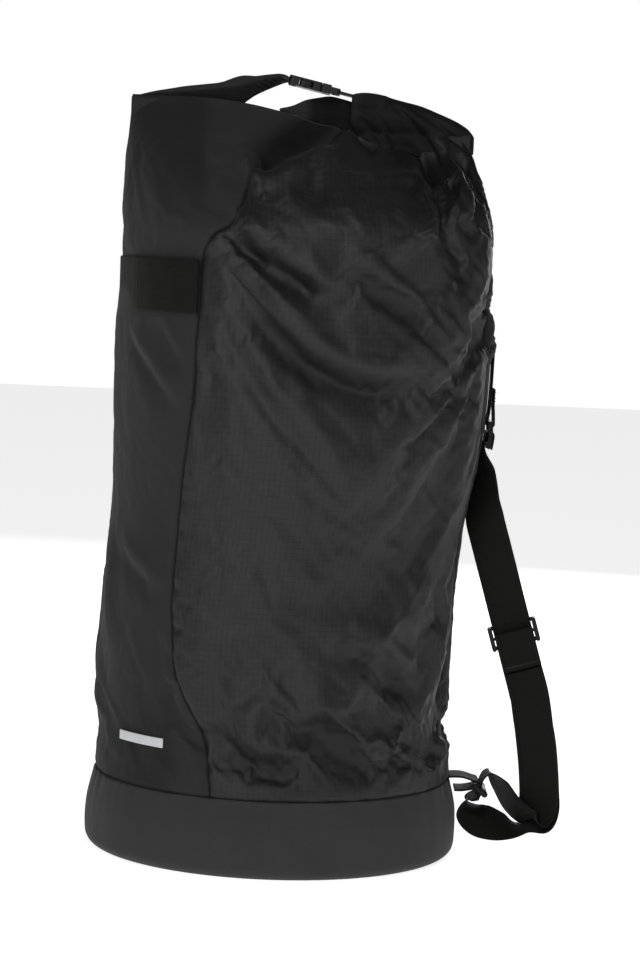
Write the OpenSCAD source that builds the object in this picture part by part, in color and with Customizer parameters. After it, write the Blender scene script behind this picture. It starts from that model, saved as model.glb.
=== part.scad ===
// Roll-top rope storage bag: a round soft bag on a deep base band, closed by
// a rolled mouth whose two ends are clipped together by a side-release buckle.
// +X points to the carrying strap on the back, -X to the front panel, +Z up.
// The origin is the middle of the base panel's underside.

/* [Bag] */
// Radius of the base band at its widest
base_r = 182; // [176:1:186]
// Height of the base band
base_h = 73; // [70:1:74]
// Thickness of the fabric skins
skin_t = 2; // [1.5:0.1:2.5]
// Height at which the body starts to close towards the mouth
shoulder_z = 607; // [600:1:612]
// Height of the body's upper edge, where the rolled mouth starts
crown_z = 687; // [685:1:690]

/* [Mouth] */
// Height of the rolled mouth
roll_h = 24; // [22:1:26]
// Thickness of the rolled mouth, front to back of the fold
roll_t = 14; // [13:1:15]
// Thickness of each layer in the roll
layer_t = 1.6; // [1.2:0.1:1.8]

/* [Buckle] */
// Width of the buckle's webbing
buckle_web = 20; // [18:1:20]
// Width of the buckle
buckle_w = 28; // [27:1:30]
// Thickness of the buckle
buckle_t = 9; // [8:0.5:10]
// Length of the socket half
socket_l = 32; // [31:1:34]
// Length of the insert half that shows when clipped
insert_l = 18.5; // [18:0.5:20]
// Travel that frees the insert from the socket
release_travel = 30; // [28:1:32]

/* [Strap] */
// Width of the carrying strap
strap_w = 38; // [36:1:40]
// Thickness of the webbing
web_t = 1.8; // [1.4:0.1:2]
// Height of the slider above the floor
slider_z = 216; // [210:1:222]

/* [Grab handle] */
// Width of the grab handle's webbing
handle_w = 50; // [40:1:50]
// Height of the handle's middle above the floor
handle_z = 544; // [535:1:550]
// Room behind the handle for fingers
handle_gap = 13; // [10:1:14]

/* [Hidden] */
$fn = 48;
eps = 0.01;
// Clear space left between neighbouring soft pieces
gap = 0.4;

// The body's rings: height, then middle in x, half width in x, half depth in y
MID = [[73, 0], [120, 0], [160, -4], [230, -3.5], [270, -1], [317, 3], [350, 7], [400, 11.5],
    [430, 13.5], [507, 14], [567, 15.5], [627, 13.5], [667, 5], [707, 2]];
HALF_X = [[73, 174], [86, 172], [120, 171], [180, 169.5], [317, 168], [350, 171.5], [400, 177],
    [430, 181], [507, 182], [567, 179], [627, 178], [667, 168], [707, 162]];
HALF_Y = [[73, 174], [86, 172], [120, 171], [317, 168], [430, 179], [567, 178], [607, 174],
    [632, 155], [652, 122], [667, 84], [677, 48], [683, 22], [687, 7]];
// The mouth's top edge: place along x, then height
LIP = [[-165, 723], [-90, 723], [-50, 719], [-15, 712], [20, 703], [50, 694], [100, 694], [175, 700]];
// The near seam of the front panel: height, then angle round the body
SEAM = [[73, 252], [110, 250], [145, 248], [160, 245], [178, 241], [200, 238.5], [260, 236],
    [370, 235], [440, 237.5], [520, 238], [566, 237], [587, 240.5], [610, 247.5], [626, 250.5],
    [646, 253], [661, 259.5], [687, 268]];
back_half = 13;
skin_rows = [base_h, 80, 96, 118, 146, 180, 230, 280, 317, 345, 372, 400, 430, 467, 507, 527, 544,
    561, 581, 607, 625, 641, 655, 667, 676, 683, crown_z];

function smooth(t) = let (c = max(0, min(1, t))) c * c * (3 - 2 * c);
function near_seam(z) = lookup(z, SEAM);
function far_seam(z) = 360 - near_seam(z);
function dent(u, z) = handle_gap * exp(-pow((u - 180) / 19, 2)) * exp(-pow((z - handle_z) / 38, 2));

// A point of the body's skin at angle u and nominal height z, inset from the outer face
function skin(u, z, inset = 0) =
    let (in = inset + dent(u, z),
         x = lookup(z, MID) + (lookup(z, HALF_X) - in) * cos(u),
         y = max(lookup(z, HALF_Y) - in, 2) * sin(u),
         rise = smooth((z - shoulder_z) / (crown_z - shoulder_z)) * (lookup(x, LIP) - roll_h - crown_z))
    [x, y, z + rise];

// The closed solid between two rectangular grids of points, given row by row
module grid_solid(outer, inner) {
    rows = len(outer);
    cols = len(outer[0]);
    side = rows * cols;
    points = concat([for (r = outer) each r], [for (r = inner) each r]);
    function at(r, c, k) = k * side + r * cols + c;
    faces = concat(
        [for (r = [0:rows - 2], c = [0:cols - 2]) each [
            [at(r, c, 0), at(r + 1, c, 0), at(r + 1, c + 1, 0)],
            [at(r, c, 0), at(r + 1, c + 1, 0), at(r, c + 1, 0)],
            [at(r, c, 1), at(r + 1, c + 1, 1), at(r + 1, c, 1)],
            [at(r, c, 1), at(r, c + 1, 1), at(r + 1, c + 1, 1)]]],
        [for (c = [0:cols - 2]) each [
            [at(0, c, 0), at(0, c + 1, 0), at(0, c + 1, 1)],
            [at(0, c, 0), at(0, c + 1, 1), at(0, c, 1)],
            [at(rows - 1, c, 0), at(rows - 1, c + 1, 1), at(rows - 1, c + 1, 0)],
            [at(rows - 1, c, 0), at(rows - 1, c, 1), at(rows - 1, c + 1, 1)]]],
        [for (r = [0:rows - 2]) each [
            [at(r, 0, 0), at(r + 1, 0, 1), at(r + 1, 0, 0)],
            [at(r, 0, 0), at(r, 0, 1), at(r + 1, 0, 1)],
            [at(r, cols - 1, 0), at(r + 1, cols - 1, 0), at(r + 1, cols - 1, 1)],
            [at(r, cols - 1, 0), at(r + 1, cols - 1, 1), at(r, cols - 1, 1)]]]);
    polyhedron(points, faces, convexity = 6);
}

// The closed solid swept through rings of points that all have the same number of corners
module ring_solid(rings) {
    n = len(rings[0]);
    m = len(rings);
    points = [for (r = rings) each r];
    faces = concat(
        [[for (k = [0:n - 1]) k]],
        [[for (k = [n - 1:-1:0]) (m - 1) * n + k]],
        [for (i = [0:m - 2], k = [0:n - 1]) each [
            [i * n + k, (i + 1) * n + k, (i + 1) * n + (k + 1) % n],
            [i * n + k, (i + 1) * n + (k + 1) % n, i * n + (k + 1) % n]]]);
    polyhedron(points, faces, convexity = 8);
}

// Smooth curve through stations: each is [place, width direction]
function curve_at(p, i, t) =
    let (a = p[max(i - 1, 0)], b = p[i], c = p[i + 1], d = p[min(i + 2, len(p) - 1)])
    0.5 * (2 * b + (c - a) * t + (2 * a - 5 * b + 4 * c - d) * t * t + (3 * b - a - 3 * c + d) * t * t * t);
function curve(p, steps) = concat(
    [for (i = [0:len(p) - 2], s = [0:steps - 1]) curve_at(p, i, s / steps)], [p[len(p) - 1]]);
function unit(v) = v / norm(v);
function across(w, t) = unit(w - (w * t) * t);

// A flat ribbon of webbing through stations
module ribbon(stations, width, thick, steps = 4) {
    centre = curve([for (s = stations) s[0]], steps);
    wide = curve([for (s = stations) s[1]], steps);
    last = len(centre) - 1;
    rings = [for (i = [0:last])
        let (t = unit(centre[min(i + 1, last)] - centre[max(i - 1, 0)]),
             w = across(wide[i], t) * width / 2,
             n = cross(t, unit(w)) * thick / 2)
        [centre[i] - w - n, centre[i] + w - n, centre[i] + w + n, centre[i] - w + n]];
    ring_solid(rings);
}

// A bundle of rolled cloth along x: each station is [place, half width in y, half height in z]
module bundle(stations, corners = 12) {
    ring_solid([for (s = stations) [for (k = [0:corners - 1])
        s[0] + [0, -s[1] * cos(360 * k / corners), s[2] * sin(360 * k / corners)]]]);
}

// ---- base ----
module base_panel() {
    color([0.07, 0.07, 0.07]) cylinder(r = base_r - 12.5, h = 2, $fn = 96);
}

module base_stiffener() {
    color([0.2, 0.2, 0.2]) translate([0, 0, 2 + gap]) cylinder(r = base_r - 17, h = 3, $fn = 96);
}

// The band's wall: a rounded foot, then a wall that leans in to the body's first ring
module base_band() {
    foot = 12;
    band_top_r = 175;
    function wall(inset) = concat(
        [for (a = [0:15:90]) [base_r - foot + (foot - inset) * sin(a), foot - (foot - inset) * cos(a)]],
        [[base_r - 1 - inset, base_h * 0.6], [band_top_r - inset, base_h - gap]]);
    color([0.09, 0.09, 0.09]) rotate_extrude($fn = 96)
        polygon(concat(wall(0), [for (i = [len(wall(0)) - 1:-1:0]) wall(skin_t)[i]]));
}

module base_seam_binding() {
    color([0.05, 0.05, 0.05]) rotate_extrude($fn = 96)
        translate([base_r - 16.4, 2 + gap]) square([1.2, 9]);
}

// ---- body ----
// One skin panel between two seam angles, given at the lower and upper side
module panel(from, to, columns) {
    split = 0.07;
    function angle(z, c) = from(z) + split + (to(z) - from(z) - 2 * split) * c / columns;
    function row(z, inset) = [for (c = [0:columns]) skin(angle(z, c), z + (z == base_h ? gap : 0), inset)];
    grid_solid([for (z = skin_rows) row(z, 0)], [for (z = skin_rows) row(z, skin_t)]);
}

module front_panel() {
    color([0.10, 0.10, 0.10]) panel(function (z) far_seam(z), function (z) near_seam(z), 14);
}

module side_panel_near() {
    color([0.14, 0.14, 0.14]) panel(function (z) near_seam(z), function (z) 360 - back_half, 12);
}

module side_panel_far() {
    color([0.14, 0.14, 0.14]) panel(function (z) back_half, function (z) far_seam(z), 12);
}

module back_panel() {
    color([0.10, 0.10, 0.10]) panel(function (z) -back_half, function (z) back_half, 4);
}

// Tape that binds the raw edges of the four upright seams, inside the bag
module seam_bindings() {
    heights = [for (z = skin_rows) if (z > base_h + 5 && z < 570) z];
    module tape(seam) ribbon([for (z = heights)
        [skin(seam(z), z, skin_t + 2.2), [-sin(seam(z)), cos(seam(z)), 0]]], 10, 1, 1);
    color([0.05, 0.05, 0.05]) {
        tape(function (z) near_seam(z));
        tape(function (z) far_seam(z));
        tape(function (z) back_half);
        tape(function (z) -back_half);
    }
}

// ---- rolled mouth ----
// The roll's middle line in section: the hem turns twice round the stiffener
roll_side = roll_t / 2 - layer_t / 2;
ROLL = [[-roll_side, 0.3], [-roll_side, 19], [-4.2, 23.2], [4.2, 23.2], [roll_side, 20], [roll_side, 3],
    [4.4, 1.2], [-1.6, 1.2], [-3.4, 3], [-3.4, 18], [-2, 20], [2, 20], [3.6, 18], [3.6, 5]];
function side_of(p, i, t) =
    let (a = unit(p[min(i + 1, len(p) - 1)] - p[i] + (i == len(p) - 1 ? p[i] - p[i - 1] : [0, 0])),
         b = unit(p[i] - p[max(i - 1, 0)] + (i == 0 ? p[1] - p[0] : [0, 0])),
         n = unit(a + b))
    [-n[1], n[0]] * t / 2 / max(0.5, n * a);

module rolled_mouth() {
    stops = [-163, -140, -115, -90, -70, -50, -32, -15, 2, 20, 35, 50, 75, 100, 135, 170];
    function layer(side) = [for (i = [0:len(ROLL) - 1])
        let (p = ROLL[i] + side * side_of(ROLL, i, layer_t))
        [for (x = stops) [x, p[0], lookup(x, LIP) - roll_h + p[1] + gap]]];
    color([0.09, 0.09, 0.09]) grid_solid(layer(1), layer(-1));
}

module mouth_stiffener() {
    stops = [-140, -90, -50, -15, 20, 50, 100, 150];
    color([0.25, 0.25, 0.25]) ribbon([for (x = stops)
        [[x, 0.1, lookup(x, LIP) - roll_h + 12], [0, 0, 1]]], 11, 1, 1);
}

module left_arm() {
    color([0.09, 0.09, 0.09]) bundle([
        [[-156, 0, 726.4], 2.5, 1.4], [[-125, 0, 729.6], 4, 3.9], [[-100, 0, 731.2], 4.5, 5.6],
        [[-80, 0, 732.6], 5, 7], [[-60, 0, 734], 5, 9.5], [[-45, 0, 736.5], 5, 10],
        [[-33, 0, 740], 7, 8], [[-24, 0, 743.5], 10, 6], [[-18.5, 0, 745.6], 11, 4.5]]);
}

// The tab of the insert slides in this arm's slot when the buckle is released
module right_arm() {
    color([0.09, 0.09, 0.09]) difference() {
        bundle([
            [[19, 0, 718], 1.6, 11], [[35, 0, 714.6], 2.4, 13.4], [[55, 0, 710.3], 3.4, 13.6],
            [[70, 0, 710.6], 4, 12.2], [[76, 0, 722], 13.5, 8.5], [[84, 0, 720.6], 13.5, 10],
            [[100, 0, 718], 13, 9.5],
            [[118, 0, 713], 12.5, 10], [[136, 0, 709.5], 10, 8], [[152, 0, 705.5], 6, 4.8],
            [[163, 0, 703.4], 3, 2]]);
        in_buckle() translate([socket_l + insert_l + release_travel, -buckle_web / 2 - 0.5, -1.9])
            cube([52, buckle_web + 1, 3.8]);
    }
}

// ---- side-release buckle: its own frame starts at the socket's bar and runs to the insert ----
module in_buckle() {
    translate([-9.9, 0, 744.3]) rotate([0, 12.2, 0]) children();
}
bar_r = 1.7;
bar_in = 1.8;
cavity_from = 9;
cavity_half = 10.2;
cavity_t = 5.4;
window_to = 24;

// A plate with round ends on its plan, lying on its middle plane
module plate(from, to, width, thick, round_from = 3, round_to = 3) {
    translate([0, 0, -thick / 2]) linear_extrude(thick) union() {
        translate([from + round_from, -width / 2]) square([to - from - round_from - round_to, width]);
        translate([from, -width / 2 + round_from]) square([round_from + eps, width - 2 * round_from]);
        translate([to - round_to - eps, -width / 2 + round_to])
            square([round_to + eps, width - 2 * round_to]);
        for (s = [-1, 1]) {
            translate([from + round_from, s * (width / 2 - round_from)]) circle(round_from);
            translate([to - round_to, s * (width / 2 - round_to)]) circle(round_to);
        }
    }
}

// The slot that leaves a round bar for the webbing at one end of a plate
module web_slot(from, to, width) {
    translate([from, -width / 2, -10]) cube([to - from, width, 20]);
}

module web_bar(x, width) {
    translate([x, -width / 2, 0]) rotate([-90, 0, 0]) cylinder(r = bar_r, h = width);
}

module buckle_socket() {
    slot_w = buckle_web + 1.6;
    color([0.13, 0.13, 0.13]) in_buckle() {
        difference() {
            plate(0, socket_l, buckle_w, buckle_t, 4, 1.5);
            translate([-1, -slot_w / 2, -10]) cube([bar_in + 1, slot_w, 20]);
            web_slot(0, 7.4, slot_w);
            translate([cavity_from, -cavity_half, -cavity_t / 2])
                cube([socket_l, 2 * cavity_half, cavity_t]);
            translate([cavity_from + 0.6, -buckle_w, -cavity_t / 2])
                cube([window_to - cavity_from - 0.6, 2 * buckle_w, cavity_t]);
        }
        web_bar(bar_in, slot_w + 2);
    }
}

module insert_bar_place() translate([socket_l + insert_l - bar_in - 0.4, 0, 0]) children();

module buckle_insert() {
    slot_w = buckle_web + 1.6;
    base_from = socket_l + 0.4;
    base_to = socket_l + insert_l;
    root_x = socket_l + 4.5;
    color([0.12, 0.12, 0.12]) in_buckle() {
        difference() {
            union() {
                plate(base_from, base_to, buckle_w, 6, 1.2, 3);
                plate(base_from, base_from + 9, buckle_w, buckle_t, 1.2, 1);
                translate([13, -1.6, -1.8]) cube([base_from - 13 + 1, 3.2, 3.6]);
            }
            web_slot(base_from + 10, base_to + 1, slot_w);
            for (s = [-1, 1]) {
                translate([root_x, s * 7.4, -10]) cylinder(r = 2.4, h = 20);
                translate([base_from - 1, s * 7.4 - 3.4, -2.7]) cube([root_x - base_from + 1, 6.8, 5.4]);
            }
        }
        insert_bar_place() web_bar(0, slot_w + 2);
    }
}

// One sprung prong: a round root in the insert's socket, a slim arm and a head in the window
module prong(s) {
    root_x = socket_l + 4.5;
    color([0.13, 0.13, 0.13]) in_buckle() translate([0, 0, -2.3]) mirror([0, s > 0 ? 0 : 1, 0]) {
        translate([root_x, 7.4, 0]) cylinder(r = 2.2, h = 4.6);
        linear_extrude(4.6) polygon([[root_x, 5.9], [root_x, 8.9], [window_to + 0.2, 9.6],
            [window_to - 0.8, 11.6], [window_to - 3, 13.2], [16, 13.7], [12.4, 12.6], [10.4, 9.4],
            [10.4, 7.2], [14, 6.6], [22, 6.2]]);
    }
}

module prong_near() prong(-1);

module prong_far() prong(1);

// Webbing folded round a buckle's bar, with its two layers pressed together beyond it
module web_loop(away, reach) {
    fold_r = bar_r + 0.3;
    thick = 1.2;
    translate([0, buckle_web / 2, 0]) rotate([90, 0, 0]) linear_extrude(buckle_web) {
        difference() {
            circle(fold_r + thick);
            circle(fold_r);
        }
        translate([away > 0 ? fold_r + 0.4 : -reach, -thick]) square([reach - fold_r - 0.4, 2 * thick]);
    }
}

module socket_webbing() {
    color([0.05, 0.05, 0.05]) in_buckle() translate([bar_in, 0, 0]) web_loop(-1, 9.5);
}

module insert_webbing() {
    color([0.05, 0.05, 0.05]) in_buckle() insert_bar_place() web_loop(1, release_travel + 12);
}

// ---- grab handle on the front panel ----
// The handle is sewn flat at both ends and runs straight over the hollow between them
handle_free = 25;
handle_end = 57.6;
handle_step = 4.8;
handle_rise = 4.6;
function lifted(a) = smooth((handle_free + 6 - abs(a)) / 12);
function out_of(a) = [cos(180 + a), sin(180 + a), 0];
function handle_point(a) =
    let (sewn = skin(180 + a, handle_z) + handle_rise * out_of(a),
         free = skin(180 + a, handle_z, -dent(180 + a, handle_z)) - 0.3 * out_of(a))
    sewn * (1 - lifted(a)) + free * lifted(a);

module grab_handle() {
    color([0.05, 0.05, 0.04]) ribbon([for (a = [-handle_end:handle_step:handle_end])
        [handle_point(a), [0, 0, 1]]], handle_w, web_t, 1);
}

// Raised rows of thread that hold the handle's ends down
module handle_stitch_bars() {
    color([0.03, 0.03, 0.03]) for (a = [-33, -30, 30, 33])
        translate(handle_point(a) + (web_t / 2 + 0.6) * out_of(a))
            rotate([0, 0, a]) cube([0.8, 1.2, handle_w - 8], center = true);
}

// A plain reflective tab printed low on the front panel
module reflective_tab() {
    tab_u = 224;
    tab_z = 118;
    color([0.8, 0.8, 0.8]) ribbon([for (k = [-2:2])
        let (u = tab_u + k * 5.2) [skin(u, tab_z, -0.7), [0, 0, 1]]], 9, 0.6, 1);
}

// ---- inside the bag ----
// A sewn loop for the end of the rope: two legs from the wall and a round nose
module rope_loop(legs, width) {
    nose_r = 13;
    rotate([90, 0, 0]) translate([0, 0, -width / 2]) linear_extrude(width) difference() {
        union() {
            translate([legs, 0]) circle(nose_r);
            translate([0, -nose_r]) square([legs, 2 * nose_r]);
        }
        translate([legs, 0]) circle(nose_r - web_t);
        translate([-1, -nose_r + web_t]) square([legs + 1, 2 * (nose_r - web_t)]);
    }
}

module rope_loop_base() {
    color([0.05, 0.05, 0.05]) translate([0, 120, 2 + 3 + 2 * gap + 1]) rotate([0, -90, 0]) rope_loop(26, 24);
}

module rope_loop_top() {
    color([0.05, 0.05, 0.05]) translate([skin(0, 477, skin_t + 1.4)[0], 0, 477]) rotate([0, 0, 180])
        rope_loop(26, 24);
}

// ---- carrying strap ----
lock_top = [198, 0, 421.5];
ring_in = [198.5, 0, 68.5];
ring_out = [208.3, 0, 60.5];
ring_wire = 2.6;
lock_bar_r = 2;
lock_bars = [[0, 0, 0], [0, 0, -11], [-1.6, 0, -21.6]];

// Webbing tab sewn flat on the back panel, with its fold under the ladder lock's top bar
module upper_tab() {
    out = lock_bar_r + 0.5 + web_t / 2;
    color([0.05, 0.05, 0.05]) ribbon(concat(
        [[[198.3, 0, 490], [0, 1, 0]], [[197.7, 0, 460], [0, 1, 0]], [[196.6, 0, 435], [0, 1, 0]]],
        [for (a = [180:36:360]) [lock_top + out * [cos(a), 0, sin(a)], [0, 1, 0]]],
        [[[201, 0, 431], [0, 1, 0]], [[200.4, 0, 440], [0, 1, 0]], [[200.6, 0, 455], [0, 1, 0]]]),
        strap_w - 2, web_t, 2);
}

module upper_tab_stitches() {
    color([0.03, 0.03, 0.03]) for (z = [444, 451])
        translate([202, 0, z]) cube([0.8, strap_w - 8, 1.2], center = true);
}

module lower_tab() {
    out = ring_wire + 0.4 + web_t / 2;
    color([0.05, 0.05, 0.05]) ribbon(concat(
        [[[177, 0, 75.6], [0, 1, 0]], [[187, 0, 75.4], [0, 1, 0]]],
        [for (a = [100:-40:-100]) [ring_in + out * [cos(a), 0, sin(a)], [0, 1, 0]]],
        [[[187, 0, 62.6], [0, 1, 0]], [[180, 0, 62.4], [0, 1, 0]]]), strap_w - 2, web_t, 2);
}

// A rectangular ring of round wire: two bars and two rounded side rails
module lower_ring() {
    reach = strap_w / 2 + 4;
    color([0.16, 0.16, 0.16]) {
        for (p = [ring_in, ring_out])
            translate(p + [0, -reach, 0]) rotate([-90, 0, 0]) cylinder(r = ring_wire, h = 2 * reach);
        for (s = [-1, 1]) hull() for (p = [ring_in, ring_out])
            translate(p + [0, s * reach, 0]) sphere(ring_wire + 0.4, $fn = 24);
    }
}

// Ladder lock: two cranked side rails with three round bars between them
module ladder_lock() {
    rail = [[-2.4, 2.4], [1.4, 2.4], [2.4, 0], [2.4, -13], [-0.4, -24.6], [-4.6, -22.6], [-1.6, -13]];
    half = strap_w / 2 + 1;
    color([0.16, 0.16, 0.16]) translate(lock_top) {
        for (s = [-1, 1]) translate([0, s * (half + 1.7), 0]) rotate([90, 0, 0])
            linear_extrude(3.4, center = true) polygon(rail);
        for (b = lock_bars) translate(b + [0, -half - 0.5, 0]) rotate([-90, 0, 0])
            cylinder(r = lock_bar_r, h = 2 * half + 1);
    }
}

slope = 0.3;
slider_at = [231, 0, slider_z];
run_dir = unit([-slope, 0, 1]);
run_wide = [run_dir[2], 0, -run_dir[0]];
layer_y = 1.5;
// Where the strap's three nodes meet, and how far the sewn end reaches below the slider
strap_split_z = 312;
bend_split_z = 153;
fold_reach = 35;
// How far the strap's middle line runs from the middle of the ring's outer bar
ring_wrap = ring_wire + 0.65 + web_t / 2;
function on_run(z, y) = [slider_at[0] - slope * (z - slider_at[2]), y, z];

// The strap's top: a short tail, over the lock's middle bar, then down with a quarter turn
module strap_top_run() {
    flat = [0, -1, 0];
    color([0.05, 0.05, 0.05]) ribbon([
        [lock_top + [2, 0, -25], flat],
        [lock_top + [3.4, 0, -15], flat],
        [lock_top + [3.2, 0, -10], flat],
        [lock_top + [0, 0, -7.4], flat],
        [lock_top + [-3.4, 0, -11], flat],
        [lock_top + [-5, 0, -23], flat],
        [[194.3, 3, 380], [0.475, -0.88, 0]],
        [[195.1, 4, 362], [0.675, -0.738, 0]],
        [[195.4, 4.5, 344], [0.85, -0.527, 0.1]],
        [[198.2, 4, 326], [0.95, -0.15, 0.25]],
        [on_run(strap_split_z + 1.5, 3.5), run_wide]], strap_w, web_t, 3);
}

// The strap's long straight stretch, which passes behind the slider
module strap_main_run() {
    color([0.05, 0.05, 0.05]) ribbon([
        [on_run(strap_split_z, 3.5), run_wide],
        [on_run(290, layer_y), run_wide],
        [on_run(slider_z, layer_y), run_wide],
        [on_run(170, layer_y), run_wide],
        [on_run(bend_split_z + 1.5, layer_y), run_wide]], strap_w, web_t, 3);
}

// The strap's low bend: down, folded over to the front in a slack lobe, and up through the ring
module strap_low_bend() {
    color([0.05, 0.05, 0.05]) ribbon([
        [on_run(bend_split_z - 1.5, layer_y), run_wide],
        [[253.4, 1.5, 133], [0.97, 0, 0.24]],
        [[258.8, 1.5, 107], [0.99, 0, 0.14]],
        [[262.2, 1.6, 80], [1, 0, 0.05]],
        [[264, 2, 60], [1, 0, 0]],
        [[265, 2.2, 44], [0.97, -0.2, 0]],
        [[262.1, 1, 30.4], [0.72, -0.69, -0.1]],
        [[247, -2.1, 25.4], [0.17, -1, -0.06]],
        [[231, -6, 27], [0, -0.86, -0.5]],
        [[216, -8, 29.5], [-0.1, -0.68, -0.73]],
        [[203.4, -6.1, 33.1], [-0.18, -0.67, -0.75]],
        [[194, -2, 41.5], [-0.3, -0.8, -0.5]],
        [[192.5, 0, 51], [-0.1, -0.98, -0.1]],
        [[201.7, 0.6, 55.9], [0.1, -0.98, -0.06]],
        [ring_out + ring_wrap * [cos(200), 0, sin(200)], [0, -1, 0]],
        [ring_out + ring_wrap * [cos(165), 0, sin(165)], [0, -1, 0]]], strap_w, web_t, 3);
}

// The return run: off the ring's outer bar, over a crest and up in front of the long run
module strap_return_run() {
    color([0.05, 0.05, 0.05]) ribbon([
        [ring_out + ring_wrap * [cos(158), 0, sin(158)], [0, -1, 0]],
        [[204.9, 0, 69], [0, -1, 0]],
        [[208.5, -0.5, 76.5], [0, -1, 0]],
        [[215, -1, 78], [0.1, -0.98, 0.1]],
        [[224.3, 0, 67.1], [0.14, -0.86, 0.49]],
        [[236.5, 0, 49], [0.25, -0.8, 0.5]],
        [[249.5, -3.5, 38.3], [0.43, -0.79, 0.36]],
        [[258.5, -2.5, 36.5], [0.8, -0.55, 0.2]],
        [[262, -2.5, 48], [0.97, -0.2, 0]],
        [[262.5, -2.2, 59.7], [1, -0.06, 0]],
        [[261.7, -1.6, 72], [1, 0, 0]],
        [[260.2, -1.5, 88], [1, 0, 0.05]],
        [[256.9, -1.5, 112], [0.99, 0, 0.14]],
        [on_run(bend_split_z, -layer_y), run_wide],
        [on_run(slider_z - fold_reach - 1, -layer_y), run_wide]], strap_w, web_t, 3);
}

// Places its children in the slider's frame: x across the webbing, z up along it
module at_slider() {
    translate(slider_at) rotate([0, -atan(slope), 0]) children();
}

// Slider: an outer frame behind the long run and a middle bar in front of it
module slider() {
    half = strap_w / 2 + 1;
    tall = 26;
    bar = 4;
    color([0.14, 0.14, 0.14]) at_slider() {
        for (s = [-1, 1]) translate([s * (half + 2), 0, 0]) {
            translate([-2, -4.6, -tall / 2 + 3]) cube([4, 10.2, tall - 6]);
            for (e = [-1, 1]) translate([0, -4.6, e * (tall / 2 - 3)]) rotate([-90, 0, 0])
                cylinder(r = 2, h = 10.2);
        }
        for (e = [-1, 1]) translate([-half - 1, layer_y + web_t / 2 + 0.5, e * (tall / 2 - 3) - bar / 2])
            cube([2 * half + 2, 2.6, bar]);
        translate([-half - 1, -3.4, -1.5]) cube([2 * half + 2, 1.6, 3]);
    }
}

// The strap's sewn end: folded over the slider's middle bar, both layers in front of the long run
module strap_end_fold() {
    back = -1.05;
    front = -4.9;
    thin = 0.7;
    top = -3.4;
    color([0.05, 0.05, 0.05]) at_slider() translate([-strap_w / 2, 0, 0]) rotate([0, 90, 0])
        linear_extrude(strap_w) polygon([
            [fold_reach, back], [top + 0.8, back], [top, back - 0.8], [top, front + 0.8], [top + 0.8, front],
            [fold_reach, front], [fold_reach, front + thin], [top + 1.1, front + thin],
            [top + 1.1, back - thin], [fold_reach, back - thin]]);
}

base_panel();
base_stiffener();
base_band();
base_seam_binding();
front_panel();
side_panel_near();
side_panel_far();
back_panel();
seam_bindings();
rolled_mouth();
mouth_stiffener();
grab_handle();
handle_stitch_bars();
reflective_tab();
rope_loop_base();
rope_loop_top();
upper_tab();
upper_tab_stitches();
lower_tab();
left_arm();
right_arm();
buckle_socket();
socket_webbing();
buckle_insert();
insert_webbing();
prong_near();
prong_far();
ladder_lock();
strap_top_run();
strap_main_run();
strap_low_bend();
strap_return_run();
lower_ring();
slider();
strap_end_fold();
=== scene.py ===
import math
import bpy
import numpy as np
from mathutils import Matrix, Vector, noise


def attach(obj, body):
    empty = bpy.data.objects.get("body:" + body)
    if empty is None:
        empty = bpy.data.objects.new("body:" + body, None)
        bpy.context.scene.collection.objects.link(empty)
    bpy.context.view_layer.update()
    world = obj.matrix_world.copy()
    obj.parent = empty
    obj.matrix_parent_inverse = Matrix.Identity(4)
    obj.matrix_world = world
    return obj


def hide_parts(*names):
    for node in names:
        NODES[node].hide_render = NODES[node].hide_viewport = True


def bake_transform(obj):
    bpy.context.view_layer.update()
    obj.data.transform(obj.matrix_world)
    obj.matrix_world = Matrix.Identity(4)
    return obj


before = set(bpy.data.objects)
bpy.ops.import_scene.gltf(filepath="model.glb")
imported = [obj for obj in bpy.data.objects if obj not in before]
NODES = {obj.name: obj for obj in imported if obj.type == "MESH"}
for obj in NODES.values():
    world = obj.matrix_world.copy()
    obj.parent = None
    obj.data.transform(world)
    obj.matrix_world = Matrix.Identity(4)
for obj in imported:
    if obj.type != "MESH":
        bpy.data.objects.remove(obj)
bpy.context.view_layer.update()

# The look of a roll-top rope storage bag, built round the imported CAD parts. Lengths are in millimetres
# until a mesh is made, and in metres after that. x runs from the front panel to the back, z runs up, and the
# near side faces -y.
MM = 0.001
SCENE = bpy.context.scene

# ---- the body's shape, as the CAD has it
MID = [(73, 0), (120, 0), (160, -4), (230, -3.5), (270, -1), (317, 3), (350, 7), (400, 11.5),
       (430, 13.5), (507, 14), (567, 15.5), (627, 13.5), (667, 5), (707, 2)]
HALF_X = [(73, 174), (86, 172), (120, 171), (180, 169.5), (317, 168), (350, 171.5), (400, 177),
          (430, 181), (507, 182), (567, 179), (627, 178), (667, 168), (707, 162)]
HALF_Y = [(73, 174), (86, 172), (120, 171), (317, 168), (430, 179), (567, 178), (607, 174),
          (632, 155), (652, 122), (667, 84), (677, 48), (683, 22), (687, 7.6), (720, 7.6)]
LIP = [(-165, 723), (-90, 723), (-50, 719), (-15, 712), (20, 703), (50, 694), (100, 694), (175, 700)]
SEAM = [(73, 252), (110, 250), (145, 248), (160, 245), (178, 241), (200, 238.5), (260, 236), (320, 235),
        (370, 235), (412, 236.5), (440, 237.5), (520, 238), (566, 237), (587, 240.5), (610, 247.5),
        (626, 250.5), (645, 252), (652, 255.5), (658, 261), (666, 267.5), (678, 273), (690, 278.5), (711, 285)]
NEAR_Y = HALF_Y[:9] + [(667, 86), (677, 62), (687, 40), (697, 24), (706, 13), (712, 8.5)]
BASE_H, SHOULDER, CROWN, ROLL_H = 73, 607, 687, 24
FOLD_LINE = CROWN + ROLL_H
BACK_HALF = 13
HANDLE_Z, HANDLE_GAP = 544, 13


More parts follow.
